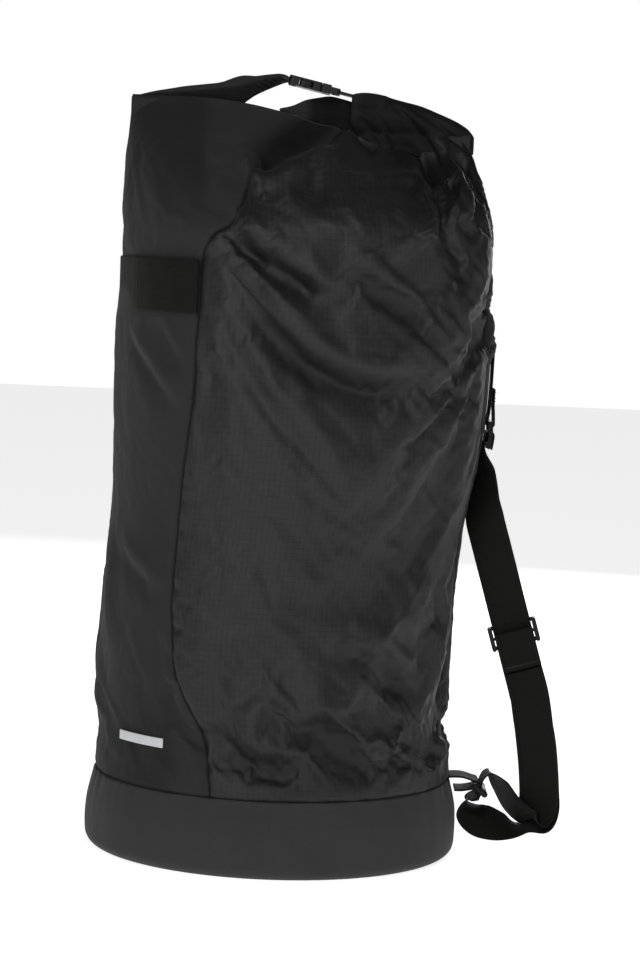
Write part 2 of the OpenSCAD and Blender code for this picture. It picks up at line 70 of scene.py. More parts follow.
def eased(rows, spread):
    """A smooth function through a table of places and values."""
    at = np.linspace(rows[0][0] - 80, rows[-1][0] + 80, 1600)
    values = np.interp(at, [r[0] for r in rows], [r[1] for r in rows])
    step = at[1] - at[0]
    k = np.arange(-int(4 * spread / step), int(4 * spread / step) + 1) * step
    g = np.exp(-(k / spread) ** 2 / 2)
    values = np.convolve(np.pad(values, len(k) // 2, mode="edge"), g / g.sum(), mode="valid")
    return lambda z: np.interp(z, at, values)


mid, half_x, half_y = eased(MID, 12), eased(HALF_X, 12), eased(HALF_Y, 5)
near_y = eased(NEAR_Y, 5)
lip, seam_at = eased(LIP, 11), eased(SEAM, 5)


def smooth(t):
    c = np.clip(t, 0, 1)
    return c * c * (3 - 2 * c)


def dent(u, z):
    return HANDLE_GAP * np.exp(-((u - 180) / 19) ** 2) * np.exp(-((z - HANDLE_Z) / 38) ** 2)


def skin(u, z, inset=0.0):
    """Points of the skin at angle u in degrees and nominal height z."""
    u, z = np.broadcast_arrays(np.asarray(u, float), np.asarray(z, float))
    inward = inset + dent(u, z)
    x = mid(z) + (half_x(z) - inward) * np.cos(np.radians(u))
    half = np.where(np.sin(np.radians(u)) < 0, near_y(z), half_y(z))
    y = np.maximum(half - inward, 2) * np.sin(np.radians(u))
    rise = smooth((z - SHOULDER) / (CROWN - SHOULDER)) * (lip(x) - ROLL_H - CROWN)
    return np.stack([x, y, z + rise], -1)


# ---- mesh helpers
def mesh_object(name, points, faces, uvs=None, mark=None, sharp=None):
    """An object in metres from points in millimetres, with a pair of uvs and a darkening for each point: dark
    seams, and painted shade in folds and corners.
    """
    mesh = bpy.data.meshes.new(name)
    mesh.from_pydata([tuple(p) for p in np.asarray(points, float).reshape(-1, 3) * MM], [], faces)
    mesh.update()
    if uvs is not None:
        layer = mesh.uv_layers.new(name="cloth")
        corner = np.zeros(len(mesh.loops), np.int32)
        mesh.loops.foreach_get("vertex_index", corner)
        uvs = np.asarray(uvs, float).reshape(-1, 2)[corner] * MM
        layer.data.foreach_set("uv", uvs.astype(np.float32).ravel())
    # Each point's darkening: dark seams, and painted shade where the cloth would be in shade.
    if mark is not None:
        shade = mesh.attributes.new("seam", "FLOAT", "POINT")
        shade.data.foreach_set("value", np.asarray(mark, np.float32).ravel())
    mesh.polygons.foreach_set("use_smooth", [True] * len(mesh.polygons))
    if sharp:
        mesh.set_sharp_from_angle(angle=math.radians(sharp))
    o = bpy.data.objects.new(name, mesh)
    SCENE.collection.objects.link(o)
    return o


def grid_faces(rows, cols, wrap=False, flip=False):
    faces = []
    for r in range(rows - 1):
        for c in range(cols if wrap else cols - 1):
            d = (c + 1) % cols
            f = (r * cols + c, r * cols + d, (r + 1) * cols + d, (r + 1) * cols + c)
            faces.append(f[::-1] if flip else f)
    return faces


def piece(o, body, material, replaces=()):
    """Gives a piece its material, its body and the CAD nodes it stands for."""
    o.data.materials.clear()
    o.data.materials.append(material)
    if body:
        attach(o, body)
    if replaces:
        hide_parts(*replaces)


def normals_of(grid):
    """Outward unit normals of a grid of points that runs up in rows and right round in columns."""
    across = np.roll(grid, -1, 1) - np.roll(grid, 1, 1)
    up = np.gradient(grid, axis=0)
    n = np.cross(across, up)
    return n / np.maximum(np.linalg.norm(n, axis=-1, keepdims=True), 1e-9)


def finer(grid, axis, wrap=False):
    """The grid with a smooth midpoint between each two points along an axis."""
    g = np.moveaxis(grid, axis, 0)
    if wrap:
        e = np.concatenate([g[-1:], g, g[:2]])
    else:
        e = np.concatenate([2 * g[:1] - g[1:2], g, 2 * g[-1:] - g[-2:-1]])
    between = (-e[:-3] + 9 * e[1:-2] + 9 * e[2:-1] - e[3:]) / 16
    out = np.empty((len(g) + len(between),) + g.shape[1:])
    out[0::2], out[1::2] = g, between
    return np.moveaxis(out, 0, axis)


def curve_through(stations, steps):
    """A smooth curve through points, with steps samples to each stretch."""
    p = np.asarray(stations, float)
    e = np.concatenate([p[:1], p, p[-1:]])
    t = np.arange(steps)[:, None] / steps
    parts = []
    for i in range(len(p) - 1):
        a, b, c, d = e[i], e[i + 1], e[i + 2], e[i + 3]
        parts.append(0.5 * (2 * b + (c - a) * t + (2 * a - 5 * b + 4 * c - d) * t ** 2
                            + (3 * b - a - 3 * c + d) * t ** 3))
    return np.concatenate(parts + [p[-1:]])


def unit(v):
    return v / np.maximum(np.linalg.norm(v, axis=-1, keepdims=True), 1e-9)


def lengths_along(points):
    """The distance from the first point to each point, along the path."""
    return np.concatenate([[0], np.cumsum(np.linalg.norm(np.diff(points, axis=0), axis=1))])


def ring(a, r, z):
    """Points at angles a, radius r and height z."""
    return np.stack([r * np.cos(a), r * np.sin(a), np.full_like(a, z)], -1)


def pairs(across, along):
    """A grid of pairs from values for its rows and values for its columns."""
    return np.stack(np.broadcast_arrays(across, along), -1)


def end_caps(rows, cols):
    """The two end faces of a tube of rows, each of cols points."""
    return [tuple(range(cols)), tuple((rows - 1) * cols + k for k in range(cols - 1, -1, -1))]


def tube_faces(grid):
    """The faces of a tube with closed ends."""
    return grid_faces(*grid.shape[:2], wrap=True, flip=True) + end_caps(*grid.shape[:2])


def ribbon(name, stations, width, thick, steps=10, cup=0.0, wobble=0.0, seed=1):
    """Webbing with round edges, through stations of (place, width direction). Its UVs are real lengths."""
    centre = curve_through([s[0] for s in stations], steps)
    wide = curve_through([s[1] for s in stations], steps)
    tangent = unit(np.gradient(centre, axis=0))
    wide = unit(wide - (wide * tangent).sum(-1, keepdims=True) * tangent)
    out = np.cross(tangent, wide)
    along = lengths_along(centre)
    h, t = width / 2, thick / 2
    across = [-h, -h + 0.35 * t, -h + 1.6 * t, -h * 0.5, 0, h * 0.5, h - 1.6 * t, h - 0.35 * t, h]
    lift = [0, 0.75, 1, 0.93, 0.93, 0.93, 1, 0.75, 0]
    section = [(a, l * t) for a, l in zip(across, lift)] + [
        (a, -l * t) for a, l in list(zip(across, lift))[-2:0:-1]]
    points, uvs = [], []
    for i in range(len(centre)):
        wave = wobble * noise.noise(Vector((along[i] / 34, seed * 7.3, 0.5)))
        for a, l in section:
            bow = cup * ((a / h) ** 2 - 0.4) + wave * (a / h)
            points.append(centre[i] + wide[i] * a + out[i] * (l + bow))
            uvs.append((a, along[i]))
    points = np.reshape(points, (len(centre), len(section), 3))
    return mesh_object(name, points, tube_faces(points), uvs, sharp=60)


def tube(points, radius, sides):
    """Points and faces of a round bar along a path."""
    p = np.asarray(points, float)
    tangent = unit(np.gradient(p, axis=0))
    side = unit(np.cross(tangent[0], [0.3, 0.9, 0.31]))
    a = np.arange(sides)[:, None] * 2 * math.pi / sides
    rings = []
    for place, t in zip(p, tangent):
        side = unit(side - (side @ t) * t)
        rings.append(place + radius * (np.cos(a) * side + np.sin(a) * np.cross(t, side)))
    faces = grid_faces(len(p), sides, wrap=True)
    return np.concatenate(rings), faces + [f[::-1] for f in end_caps(len(p), sides)]


def joined(name, parts):
    """One object of several sets of points and faces."""
    points, faces, start = [], [], 0
    for p, f in parts:
        points.append(p)
        faces += [tuple(i + start for i in face) for face in f]
        start += len(p)
    return mesh_object(name, np.concatenate(points), faces)


THREAD_LIFT = 0.15


def stitches(name, lines, radius, length, pitch):
    """Rows of thread: each line is (points, outward direction)."""
    parts = []
    sunk = np.array([0.5, 0.05, 0, 0.05, 0.5]) * radius * 1.6
    for points, out in lines:
        p = np.asarray(points, float)
        run = lengths_along(p)
        at = 0.6
        while at + length < run[-1]:
            t = at + length * np.linspace(0, 1, 5)
            q = np.stack([np.interp(t, run, p[:, k]) for k in range(3)], -1)
            parts.append(tube(q + np.asarray(out) * (THREAD_LIFT - sunk)[:, None], radius, 6))
            at += pitch
    return joined(name, parts)


# ---- materials
# The near black towards which dark seams and painted shade pull the cloth's colour.
SHADE = (0.0012, 0.0012, 0.0012)


class Nodes:
    """Short calls for the node types used here."""

    def __init__(self, tree):
        self.t = tree

    def new(self, kind, inputs=(), **settings):
        """A node with its settings and its inputs, each of which is a value or another node's output."""
        n = self.t.nodes.new(kind)
        for k, v in settings.items():
            setattr(n, k, v)
        for k, v in dict(inputs).items():
            if hasattr(v, "links"):
                self.t.links.new(v, n.inputs[k])
            else:
                n.inputs[k].default_value = v
        return n

    def math(self, op, a, b=0.0, clamp=False):
        return self.new("ShaderNodeMath", {0: a, 1: b}, operation=op, use_clamp=clamp).outputs[0]

    def plus(self, a, b):
        return self.math("ADD", a, b)

    def minus(self, a, b, clamp=False):
        return self.math("SUBTRACT", a, b, clamp)

    def times(self, a, b, clamp=False):
        return self.math("MULTIPLY", a, b, clamp)

    def noise(self, vector, scale, detail=2.0, rough=0.5):
        inputs = {"Vector": vector, "Scale": scale, "Detail": detail, "Roughness": rough}
        return self.new("ShaderNodeTexNoise", inputs).outputs["Fac"]

    def spread(self, value, lo, hi, to_lo=0.0, to_hi=1.0):
        inputs = {"Value": value, "From Min": lo, "From Max": hi, "To Min": to_lo, "To Max": to_hi}
        return self.new("ShaderNodeMapRange", inputs).outputs["Result"]

    def tint(self, factor, a, b):
        """A blend from colour a to colour b."""
        a, b = (c if hasattr(c, "links") else (*c, 1) for c in (a, b))
        return self.new("ShaderNodeMix", {"Factor": factor, "A": a, "B": b}, data_type="RGBA").outputs["Result"]

    def bump(self, height, strength, distance, onto=None):
        inputs = {"Height": height, "Strength": strength, "Distance": distance}
        if onto is not None:
            inputs["Normal"] = onto
        return self.new("ShaderNodeBump", inputs).outputs["Normal"]

    def wave(self, value, pitch):
        """A smooth ridge each pitch metres, from 0 to 1."""
        return self.plus(self.times(self.math("SINE", self.times(value, 2 * math.pi / pitch)), 0.5), 0.5)

    def uv(self):
        """The cloth's own coordinates in metres: both together, across and along."""
        uv = self.new("ShaderNodeUVMap", uv_map="cloth").outputs[0]
        split = self.new("ShaderNodeSeparateXYZ", {0: uv})
        return uv, split.outputs[0], split.outputs[1]

    def cloth(self, mix, dark, light, share):
        """A cloth's colour, dark at the seams, with painted shade where folds and corners would shade it."""
        dip = self.new("ShaderNodeAttribute", attribute_name="seam").outputs["Fac"]
        mix = self.times(self.minus(1.0, self.times(dip, 0.5)), mix, clamp=True)
        return self.tint(self.times(dip, share), self.tint(mix, dark, light), SHADE)

    def dress(self, colour, roughness, normal, **constants):
        """Links the shader's three varying inputs and sets its constant ones."""
        shader = self.t.nodes["Principled BSDF"]
        for key, output in (("Base Color", colour), ("Roughness", roughness), ("Normal", normal)):
            self.t.links.new(output, shader.inputs[key])
        for key, value in constants.items():
            shader.inputs[key.replace("_", " ")].default_value = value


def new_material(name):
    m = bpy.data.materials.new(name)
    m.use_nodes = True
    return m, Nodes(m.node_tree)


TWILL_PITCH, RIPSTOP_PITCH, YARN_PITCH = 0.0017, 0.0052, 0.0011


def heavy_fabric(name="heavy_fabric", dark=(0.0102, 0.0102, 0.0104), light=(0.0265, 0.0265, 0.0269)):
    """Matt plain-weave polyester with a slightly uneven yarn colour."""
    m, n = new_material(name)
    uv, a, b = n.uv()
    yarn = n.noise(uv, 900, 3, 0.6)
    cloud = n.noise(uv, 22, 3, 0.55)
    weave = n.times(n.wave(n.plus(a, b), TWILL_PITCH), n.wave(n.minus(a, b), TWILL_PITCH))
    mix = n.plus(n.times(n.spread(yarn, 0.3, 0.7), 0.65), n.times(cloud, 0.35))
    mix = n.plus(mix, n.times(n.minus(weave, 0.25), 0.25))
    soft = n.bump(n.noise(uv, 140, 3, 0.6), 0.35, 0.0008)
    fine = n.bump(weave, 0.5, 0.00025, soft)
    n.dress(n.cloth(mix, dark, light, 0.88), n.spread(yarn, 0.2, 0.8, 0.78, 0.92),
            n.bump(yarn, 0.5, 0.0003, fine), Specular_IOR_Level=0.18, Sheen_Weight=0.05, Sheen_Roughness=0.5)
    return m


def ripstop(name="ripstop", gloss=0.32, rough=(0.52, 0.64)):
    """Thin ripstop with a soft gloss: a small grid of thicker yarns, and fine creases between them."""
    m, n = new_material(name)
    uv, a, b = n.uv()
    drift = n.times(n.minus(n.noise(uv, 14, 2), 0.5), 0.0035)
    broken = n.spread(n.noise(uv, 60, 2), 0.38, 0.6)
    line_a, line_b = (n.math("POWER", n.wave(n.plus(v, drift), RIPSTOP_PITCH), 14.0) for v in (a, b))
    lines = n.math("MAXIMUM", n.times(line_a, 0.75), n.times(line_b, broken))
    yarn = n.noise(uv, 1100, 2, 0.6)
    streak = n.noise(uv, 35, 4, 0.6)
    mix = n.plus(n.times(n.spread(streak, 0.25, 0.75), 0.5), n.times(yarn, 0.5))
    mix = n.minus(mix, n.times(lines, 0.62))
    colour = n.cloth(mix, (0.0056, 0.0052, 0.0055), (0.0182, 0.0170, 0.0177), 0.8)
    crease = n.bump(n.noise(uv, 60, 4, 0.6), 0.40, 0.0016)
    grid = n.bump(lines, 0.25, 0.0002, crease)
    n.dress(colour, n.spread(streak, 0.2, 0.8, *rough), n.bump(yarn, 0.35, 0.0002, grid),
            Specular_IOR_Level=gloss, Sheen_Weight=0.04, Sheen_Roughness=0.35)
    return m


def webbing(name="webbing", half=19.0, pitch=0.0013, dark=(0.0017, 0.0018, 0.0015),
            light=(0.0058, 0.0059, 0.0052)):
    """Woven strap: cross ribs, fine yarns along it, and a brighter edge on each side."""
    m, n = new_material(name)
    uv, a, b = n.uv()
    rib = n.wave(n.plus(b, n.times(n.noise(uv, 300, 1), 0.0006)), pitch)
    weave = n.times(n.plus(rib, n.wave(a, YARN_PITCH)), 0.5)
    from_middle = n.math("ABSOLUTE", a)
    edge = n.spread(from_middle, (half - 3.2) * MM, (half - 1.4) * MM)
    groove = n.minus(1.0, n.spread(n.math("ABSOLUTE", n.minus(from_middle, (half - 3.4) * MM)), 0.0, 0.0005))
    cloud = n.noise(uv, 60, 3)
    mix = n.plus(n.times(weave, 0.5), n.times(cloud, 0.35))
    mix = n.plus(mix, n.times(edge, n.times(rib, 0.35)))
    mix = n.minus(mix, n.times(groove, 0.3), clamp=True)
    n.dress(n.tint(mix, dark, light), n.spread(cloud, 0.2, 0.8, 0.62, 0.78),
            n.bump(weave, 0.8, 0.0004, n.bump(groove, 0.5, -0.0004)),
            Specular_IOR_Level=0.14, Sheen_Weight=0.04, Sheen_Roughness=0.4)
    return m


def plain(name, dark, light, rough, grain, bump, depth, level, metal=0.0):
    """Moulded plastic, thread, board and so on: grain in colour, gloss and bump from the piece's own place."""
    m, n = new_material(name)
    place = n.new("ShaderNodeTexCoord").outputs["Object"]
    fine, wide = n.noise(place, grain, 3, 0.6), n.noise(place, grain / 18, 3, 0.6)
    n.dress(n.tint(n.times(n.plus(fine, wide), 0.5), dark, light), n.spread(wide, 0.25, 0.75, *rough),
            n.bump(fine, bump, depth), Specular_IOR_Level=level, Metallic=metal)
    return m


HEAVY = heavy_fabric()
HEAVY_BASE = heavy_fabric("heavy_fabric_base", (0.0165, 0.0165, 0.0168), (0.0420, 0.0420, 0.0425))
RIPSTOP = ripstop()
RIPSTOP_SWEPT = ripstop("ripstop_swept", 0.18, (0.66, 0.78))
WEB = webbing()
WEB_HANDLE = webbing("webbing_handle", half=25.0, pitch=0.0016, dark=(0.0016, 0.0018, 0.0012),
                     light=(0.0064, 0.0068, 0.0050))
WEB_SMALL = plain("webbing_small", (0.003, 0.003, 0.003), (0.011, 0.011, 0.0105),
                  (0.6, 0.75), 1400, 0.5, 0.0003, 0.3)
TAPE = plain("binding_tape", (0.008, 0.008, 0.008), (0.020, 0.020, 0.020),
             (0.7, 0.85), 1200, 0.4, 0.0003, 0.3)
THREAD = plain("thread", (0.010, 0.010, 0.010), (0.034, 0.034, 0.033),
               (0.45, 0.6), 1500, 0.4, 0.0002, 0.4)
PLASTIC = plain("buckle_plastic", (0.0035, 0.0035, 0.0037), (0.0065, 0.0065, 0.0067),
                (0.40, 0.52), 700, 0.10, 0.0001, 0.22)
BOARD = plain("board", (0.05, 0.048, 0.045), (0.09, 0.086, 0.08), (0.7, 0.85), 300, 0.3, 0.0003, 0.3)
SHINY = plain("reflective", (0.42, 0.43, 0.44), (0.62, 0.63, 0.64),
              (0.34, 0.46), 2200, 0.3, 0.0001, 0.6, 0.25)

# ---- camera and light
TILT, LEAN = math.radians(4.45), math.radians(2.36)
aim = Vector((0, math.cos(TILT), -math.sin(TILT)))
up0 = Vector((0, math.sin(TILT), math.cos(TILT)))
right = Vector((1, 0, 0)) * math.cos(LEAN) + up0 * math.sin(LEAN)
up = up0 * math.cos(LEAN) - Vector((1, 0, 0)) * math.sin(LEAN)
camera_data = bpy.data.cameras.new("camera")
camera_data.sensor_width = 36
camera_data.lens = 108.19
camera_data.clip_start, camera_data.clip_end = 0.05, 60
camera = bpy.data.objects.new("camera", camera_data)
EYE = Vector((0.0356, -2.8, 0.577))
camera.matrix_world = Matrix([(right[k], up[k], -aim[k], EYE[k]) for k in range(3)] + [(0, 0, 0, 1)])
SCENE.collection.objects.link(camera)
SCENE.camera = camera
SCENE.view_settings.view_transform = "Standard"


def area_light(name, place, target, size, watts):
    data = bpy.data.lights.new(name, "AREA")
    data.shape = "RECTANGLE"
    data.size, data.size_y = size
    data.energy = watts
    o = bpy.data.objects.new(name, data)
    o.location = place
    o.rotation_euler = (Vector(target) - Vector(place)).to_track_quat("-Z", "Y").to_euler()
    SCENE.collection.objects.link(o)


world = bpy.data.worlds.new("studio")
SCENE.world = world
world.use_nodes = True
sky = Nodes(world.node_tree)
background = world.node_tree.nodes["Background"]
background.inputs["Color"].default_value = (1, 1, 1, 1)
seen = sky.new("ShaderNodeLightPath").outputs["Is Camera Ray"]
world.node_tree.links.new(sky.spread(seen, 0.0, 1.0, 0.05, 1.0), background.inputs["Strength"])
area_light("key", (-1.0, -2.8, 1.15), (0, 0, 0.40), (0.70, 0.55), 30.5)
area_light("top", (0.12, -1.5, 1.95), (0, 0, 0.52), (0.5, 0.4), 13)
area_light("side", (2.4, -0.4, 0.8), (0, 0, 0.4), (0.6, 1.4), 6)
area_light("back", (0.6, 2.4, 1.0), (0, 0, 0.4), (1.8, 1.2), 26)

FLOOR_HALF = 9000
corners = FLOOR_HALF * np.array([(-1, -1, 0), (1, -1, 0), (1, 1, 0), (-1, 1, 0)])
floor = mesh_object("floor", corners, [(0, 1, 2, 3)])
FLOOR = plain("floor_paint", (0.90, 0.90, 0.90), (0.93, 0.93, 0.93), (0.7, 0.8), 40, 0.02, 0.0002, 0.1)
floor_inputs = FLOOR.node_tree.nodes["Principled BSDF"].inputs
floor_inputs["Emission Color"].default_value = (1, 1, 1, 1)
floor_inputs["Emission Strength"].default_value = 0.80
floor.data.materials.append(FLOOR)

# ---- the folds
# Each fold: kind, width, height, taper and its path, as distance round the skin from the near middle, nominal
# height, and so on. A STEP stands proud above its path and sinks below it. A LINE is a ridge or a valley.
# The fine folds and the painted shades are all lines, so their rows leave the kind out.
STEP, LINE = "step", "line"
SKIN_R = 175.0
SWEPT_1 = (97, 744, 127, 723, 158, 695, 168, 656, 170, 634)
SWEPT_2 = (108, 745, 182, 714, 229, 693, 262, 655)
SWEPT_3 = (56, 736, 80, 730, 98, 713, 106, 694, 102, 676)
BIG_FOLDS = [
    (STEP, 12, 6.5, 0.25, (-82, 606, -45, 588, -15, 572, 12, 552, 27, 532)),
    (LINE, 9, 3, 0.4, (-60, 572, -30, 556, 5, 528, 30, 505)),
    (STEP, 15, 7.5, 0.25, (-60, 538, -25, 514, 10, 487, 48, 472, 88, 468, 115, 476)),
    (LINE, 12, 3.5, 0.4, (-70, 508, -30, 480, 0, 462, 40, 448)),
    (STEP, 9, 4, 0.3, (28, 588, 55, 568, 72, 553, 100, 538, 122, 514, 142, 492)),
    (STEP, 8, 2.5, 0.4, (-48, 468, -28, 452, -8, 444)), (STEP, 8, 2.2, 0.4, (-96, 487, -62, 464)),
    (STEP, 9, 3, 0.35, (-205, 508, -150, 465, -102, 422)), (STEP, 7, 2.2, 0.4, (-150, 516, -102, 464)),
    (STEP, 13, 5, 0.35, (-22, 640, 15, 657, 40, 650)),
    (LINE, 10, -11, 0.2, (-50, 650, -33, 661, -16, 675, 2, 689, 20, 702, 38, 711)),
    (LINE, 6, 7, 0.1, (-60, 642, -34, 648, -4, 657, 24, 678, 44, 700, 54, 709, 60, 716)),
    (LINE, 9, -9, 0.12, (60, 744, 87, 739, 112, 722, 139, 697, 147, 664, 151, 620, 156, 580)),
    (LINE, 9, 6, 0.15, (100, 744, 150, 713, 180, 690, 188, 650, 192, 616)),
    (STEP, 10, 3.5, 0.3, (130, 707, 225, 688, 262, 640)),
    (LINE, 9, 3, 0.4, (150, 600, 158, 540, 172, 500, 176, 440)), (LINE, 7, -3.5, 0.3, (170, 620, 192, 598)),
    (LINE, 7, -3, 0.3, (150, 595, 176, 578)), (LINE, 7, 2.8, 0.3, (178, 582, 206, 554)),
    (LINE, 8, 2.5, 0.4, (35, 546, 45, 515, 66, 494)),
    (STEP, 15, 5.5, 0.3, (-38, 166, -22, 126, 15, 109, 46, 90)),
    (STEP, 14, 5, 0.3, (15, 148, 52, 154, 68, 138, 115, 86)),
    (LINE, 10, 3.5, 0.4, (25, 226, 46, 186, 72, 154, 100, 125)),
    (STEP, 13, 5.5, 0.3, (60, 200, 86, 221, 130, 202, 178, 168)), (STEP, 9, 3, 0.4, (112, 246, 166, 220)),
    (STEP, 11, 2.2, 0.4, (8, 282, 52, 258)), (LINE, 9, 3.5, 0.35, (112, 312, 165, 262, 208, 206, 238, 156)),
    (LINE, 8, -3, 0.35, (135, 310, 190, 262, 225, 210)),
    (STEP, 9, 2.5, 0.4, (-215, 306, -160, 280, -105, 258)),
    (LINE, 10, 2.5, 0.4, (-250, 330, -215, 270, -200, 190)),
    (LINE, 13, 3, 0.4, (-262, 210, -235, 160, -222, 110)),
    (LINE, 16, 2.5, 0.4, (-60, 420, 40, 380, 130, 372)),
]
FINE_FOLDS = [(LINE, *fold) for fold in [
    (2.6, -3.2, 0.3, (52, 566, 72, 554, 101, 540, 122, 515, 142, 494)),
    (2.4, -2, 0.3, (-82, 596, -50, 579, -24, 564)), (2.6, -3, 0.3, (66, 160, 96, 136, 126, 114, 188, 86)),
    (2.8, -3.6, 0.1, SWEPT_1), (2.8, -3.4, 0.1, SWEPT_2), (3, -2.8, 0.2, SWEPT_3),
    (3, -2.6, 0.2, (57, 727, 76, 717, 90, 700, 88, 684)), (4, -4, 0.2, (58, 712, 68, 704, 82, 692)),
    (2.4, 2.6, 0.1, (-60, 644, -39, 669, -22, 688, 3, 704, 27, 710, 46, 712)),
    (2.6, -2.5, 0.3, (150, 596, 176, 579)), (2.4, -2.2, 0.3, (140, 581, 166, 559)),
    (2.4, -2.2, 0.3, (176, 581, 206, 554)), (2.6, -2.4, 0.3, (170, 621, 191, 599)),
    (2.2, 1.6, 0.3, (165, 560, 156, 535, 170, 505, 166, 480)),
    (2.2, 1.5, 0.3, (178, 500, 174, 465, 180, 420)), (2.2, 1.5, 0.3, (208, 520, 212, 450, 206, 380)),
    (2, -1.4, 0.3, (58, 496, 82, 494)), (2, -1.3, 0.3, (104, 550, 136, 556)),
    (2, -1.3, 0.3, (-96, 521, -70, 514, -45, 494)), (2, -1.4, 0.3, (80, 296, 96, 305)),
    (2.2, -1.6, 0.3, (94, 326, 132, 319)), (2.2, 1.6, 0.3, (116, 308, 150, 268, 190, 215, 225, 160)),
    (2, -1.2, 0.3, (-100, 232, -84, 226)), (2, -1.2, 0.3, (-97, 256, -80, 250)),
]]

# Painted shade where folded cloth shades itself: each line darkens the cloth's colour by the share of light it
# loses.
PAINTED_SHADES = [(LINE, *fold) for fold in [
    (13, 0.70, 0.08, (58, 746, 87, 737, 112, 720, 138, 696, 146, 664, 150, 626, 154, 596)),
    (8.5, 1.25, 0.1, (-54, 652, -33, 668, -16, 685, 2, 699, 20, 711, 40, 720)),
    (14, 0.75, 0.2, (190, 730, 226, 712, 256, 690, 272, 660, 272, 620)),
    (6, 0.60, 0.2, (56, 712, 66, 705, 82, 691)), (3, 0.5, 0.1, SWEPT_1), (3, 0.5, 0.1, SWEPT_2),
    (5, 0.35, 0.2, SWEPT_3), (7, 0.85, 0.3, (-78, 594, -45, 577, -15, 560, 12, 541, 26, 522)),
    (9, 0.9, 0.3, (-62, 526, -25, 501, 10, 473, 48, 458, 88, 455, 115, 463)),
    (6, 0.85, 0.3, (28, 580, 55, 560, 72, 545, 100, 530, 122, 506, 142, 484)),
    (10, 0.65, 0.3, (-42, 154, -22, 114, 15, 98, 40, 84)),
    (9, 0.75, 0.3, (60, 188, 86, 208, 130, 190, 178, 156)),
    (10, 0.65, 0.3, (18, 136, 52, 142, 68, 126, 112, 78)), (9, 0.4, 0.3, (135, 310, 190, 262, 225, 210)),
    (8, 0.35, 0.3, (150, 620, 160, 560, 165, 500, 168, 430)), (40, 0.22, 0.25, (150, 60, 60, 76, -40, 80)),
]]


def fold_height(s, z, folds):
    """How far the folds lift the skin at distance s round it and nominal height z."""
    total = np.zeros_like(s)
    for kind, width, height, taper, path in folds:
        p = curve_through(np.reshape(path, (-1, 2)), 6)
        seg = np.linalg.norm(np.diff(p, axis=0), axis=1)
        run = np.concatenate([[0], np.cumsum(seg)]) / seg.sum()
        best = np.full(s.shape, 1e9)
        side = np.zeros_like(s)
        where = np.zeros_like(s)
        for i in range(len(p) - 1):
            d = p[i + 1] - p[i]
            t = np.clip(((s - p[i, 0]) * d[0] + (z - p[i, 1]) * d[1]) / (d @ d), 0, 1)
            ds, dz = s - (p[i, 0] + t * d[0]), z - (p[i, 1] + t * d[1])
            dist = np.hypot(ds, dz)
            near = dist < best
            best = np.where(near, dist, best)
            side = np.where(near, np.sign(d[0] * dz - d[1] * ds), side)
            where = np.where(near, run[i] + t * (run[i + 1] - run[i]), where)
        q = best * side / width
        ends = smooth(where / taper) * smooth((1 - where) / taper)
        fall = np.exp(-q ** 2 / 2)
        total += height * ends * (fall if kind == LINE else q * fall * 1.65)
    return total


def crumple(s, z, seed, size, stretch, turn):
    """Soft ridged noise, drawn out along a direction."""
    c, d = math.cos(turn), math.sin(turn)
    along = ((s * c + z * d) / (size * stretch)).ravel()
    across = ((-s * d + z * c) / size).ravel()
    height = np.zeros(s.size)
    for i, (a, b) in enumerate(zip(along, across)):
        w = noise.noise(Vector((a, b, seed * 3.7)) * 0.6)
        height[i] = 0.55 - abs(noise.noise(Vector((a + w, b - w, seed * 9.1)))) * 1.6
    return height.reshape(s.shape)


# ---- the skin, as one tube of cloth
row_z = np.concatenate([np.linspace(BASE_H, 600, 92), np.linspace(600, CROWN, 30)[1:],
                        np.linspace(CROWN, FOLD_LINE, 9)[1:]])
# the angles of the four upright seams, round the bag from the near front one, and the columns of each panel
SEAMS = [seam_at(row_z), 360.0 - BACK_HALF + 0 * row_z, 360.0 + BACK_HALF + 0 * row_z, 720.0 - seam_at(row_z),
         360.0 + seam_at(row_z)]
PANEL_COLS = [60, 14, 60, 68]
ANGLE = np.stack([lo + (hi - lo) * c / count for lo, hi, count in zip(SEAMS, SEAMS[1:], PANEL_COLS)
                  for c in range(count)], 1)
ZED = np.repeat(row_z[:, None], ANGLE.shape[1], 1)


FAR_SHIFT = 16


def side_coordinates(angle, zed):
    """Distance round the skin from the near middle; the far side is a shifted mirror of it."""
    u = np.mod(angle, 360)
    near = u >= 180
    theta = np.where(near, u - 270, 90 - u)
    s = SKIN_R * np.radians(theta)
    return np.where(near, s, s * 0.94 + FAR_SHIFT), np.where(near, zed, zed * 1.02 - FAR_SHIFT), near


def hold(angle, zed):
    """1 where other parts are sewn on, so that the cloth stays put there."""
    u = np.mod(angle + 180, 360) - 180
    ends = np.maximum(smooth((98 - zed) / 20), smooth((zed - 660) / 20))
    tab = np.maximum(smooth((38 - abs(zed - 452)) / 12), smooth((104 - zed) / 12))
    tab = smooth((26 - abs(u)) / 10) * tab
    f = np.mod(angle, 360) - 180
    handle = smooth((68 - abs(f)) / 8) * smooth((36 - abs(zed - HANDLE_Z)) / 10)
    return np.maximum(np.maximum(ends, tab), handle)


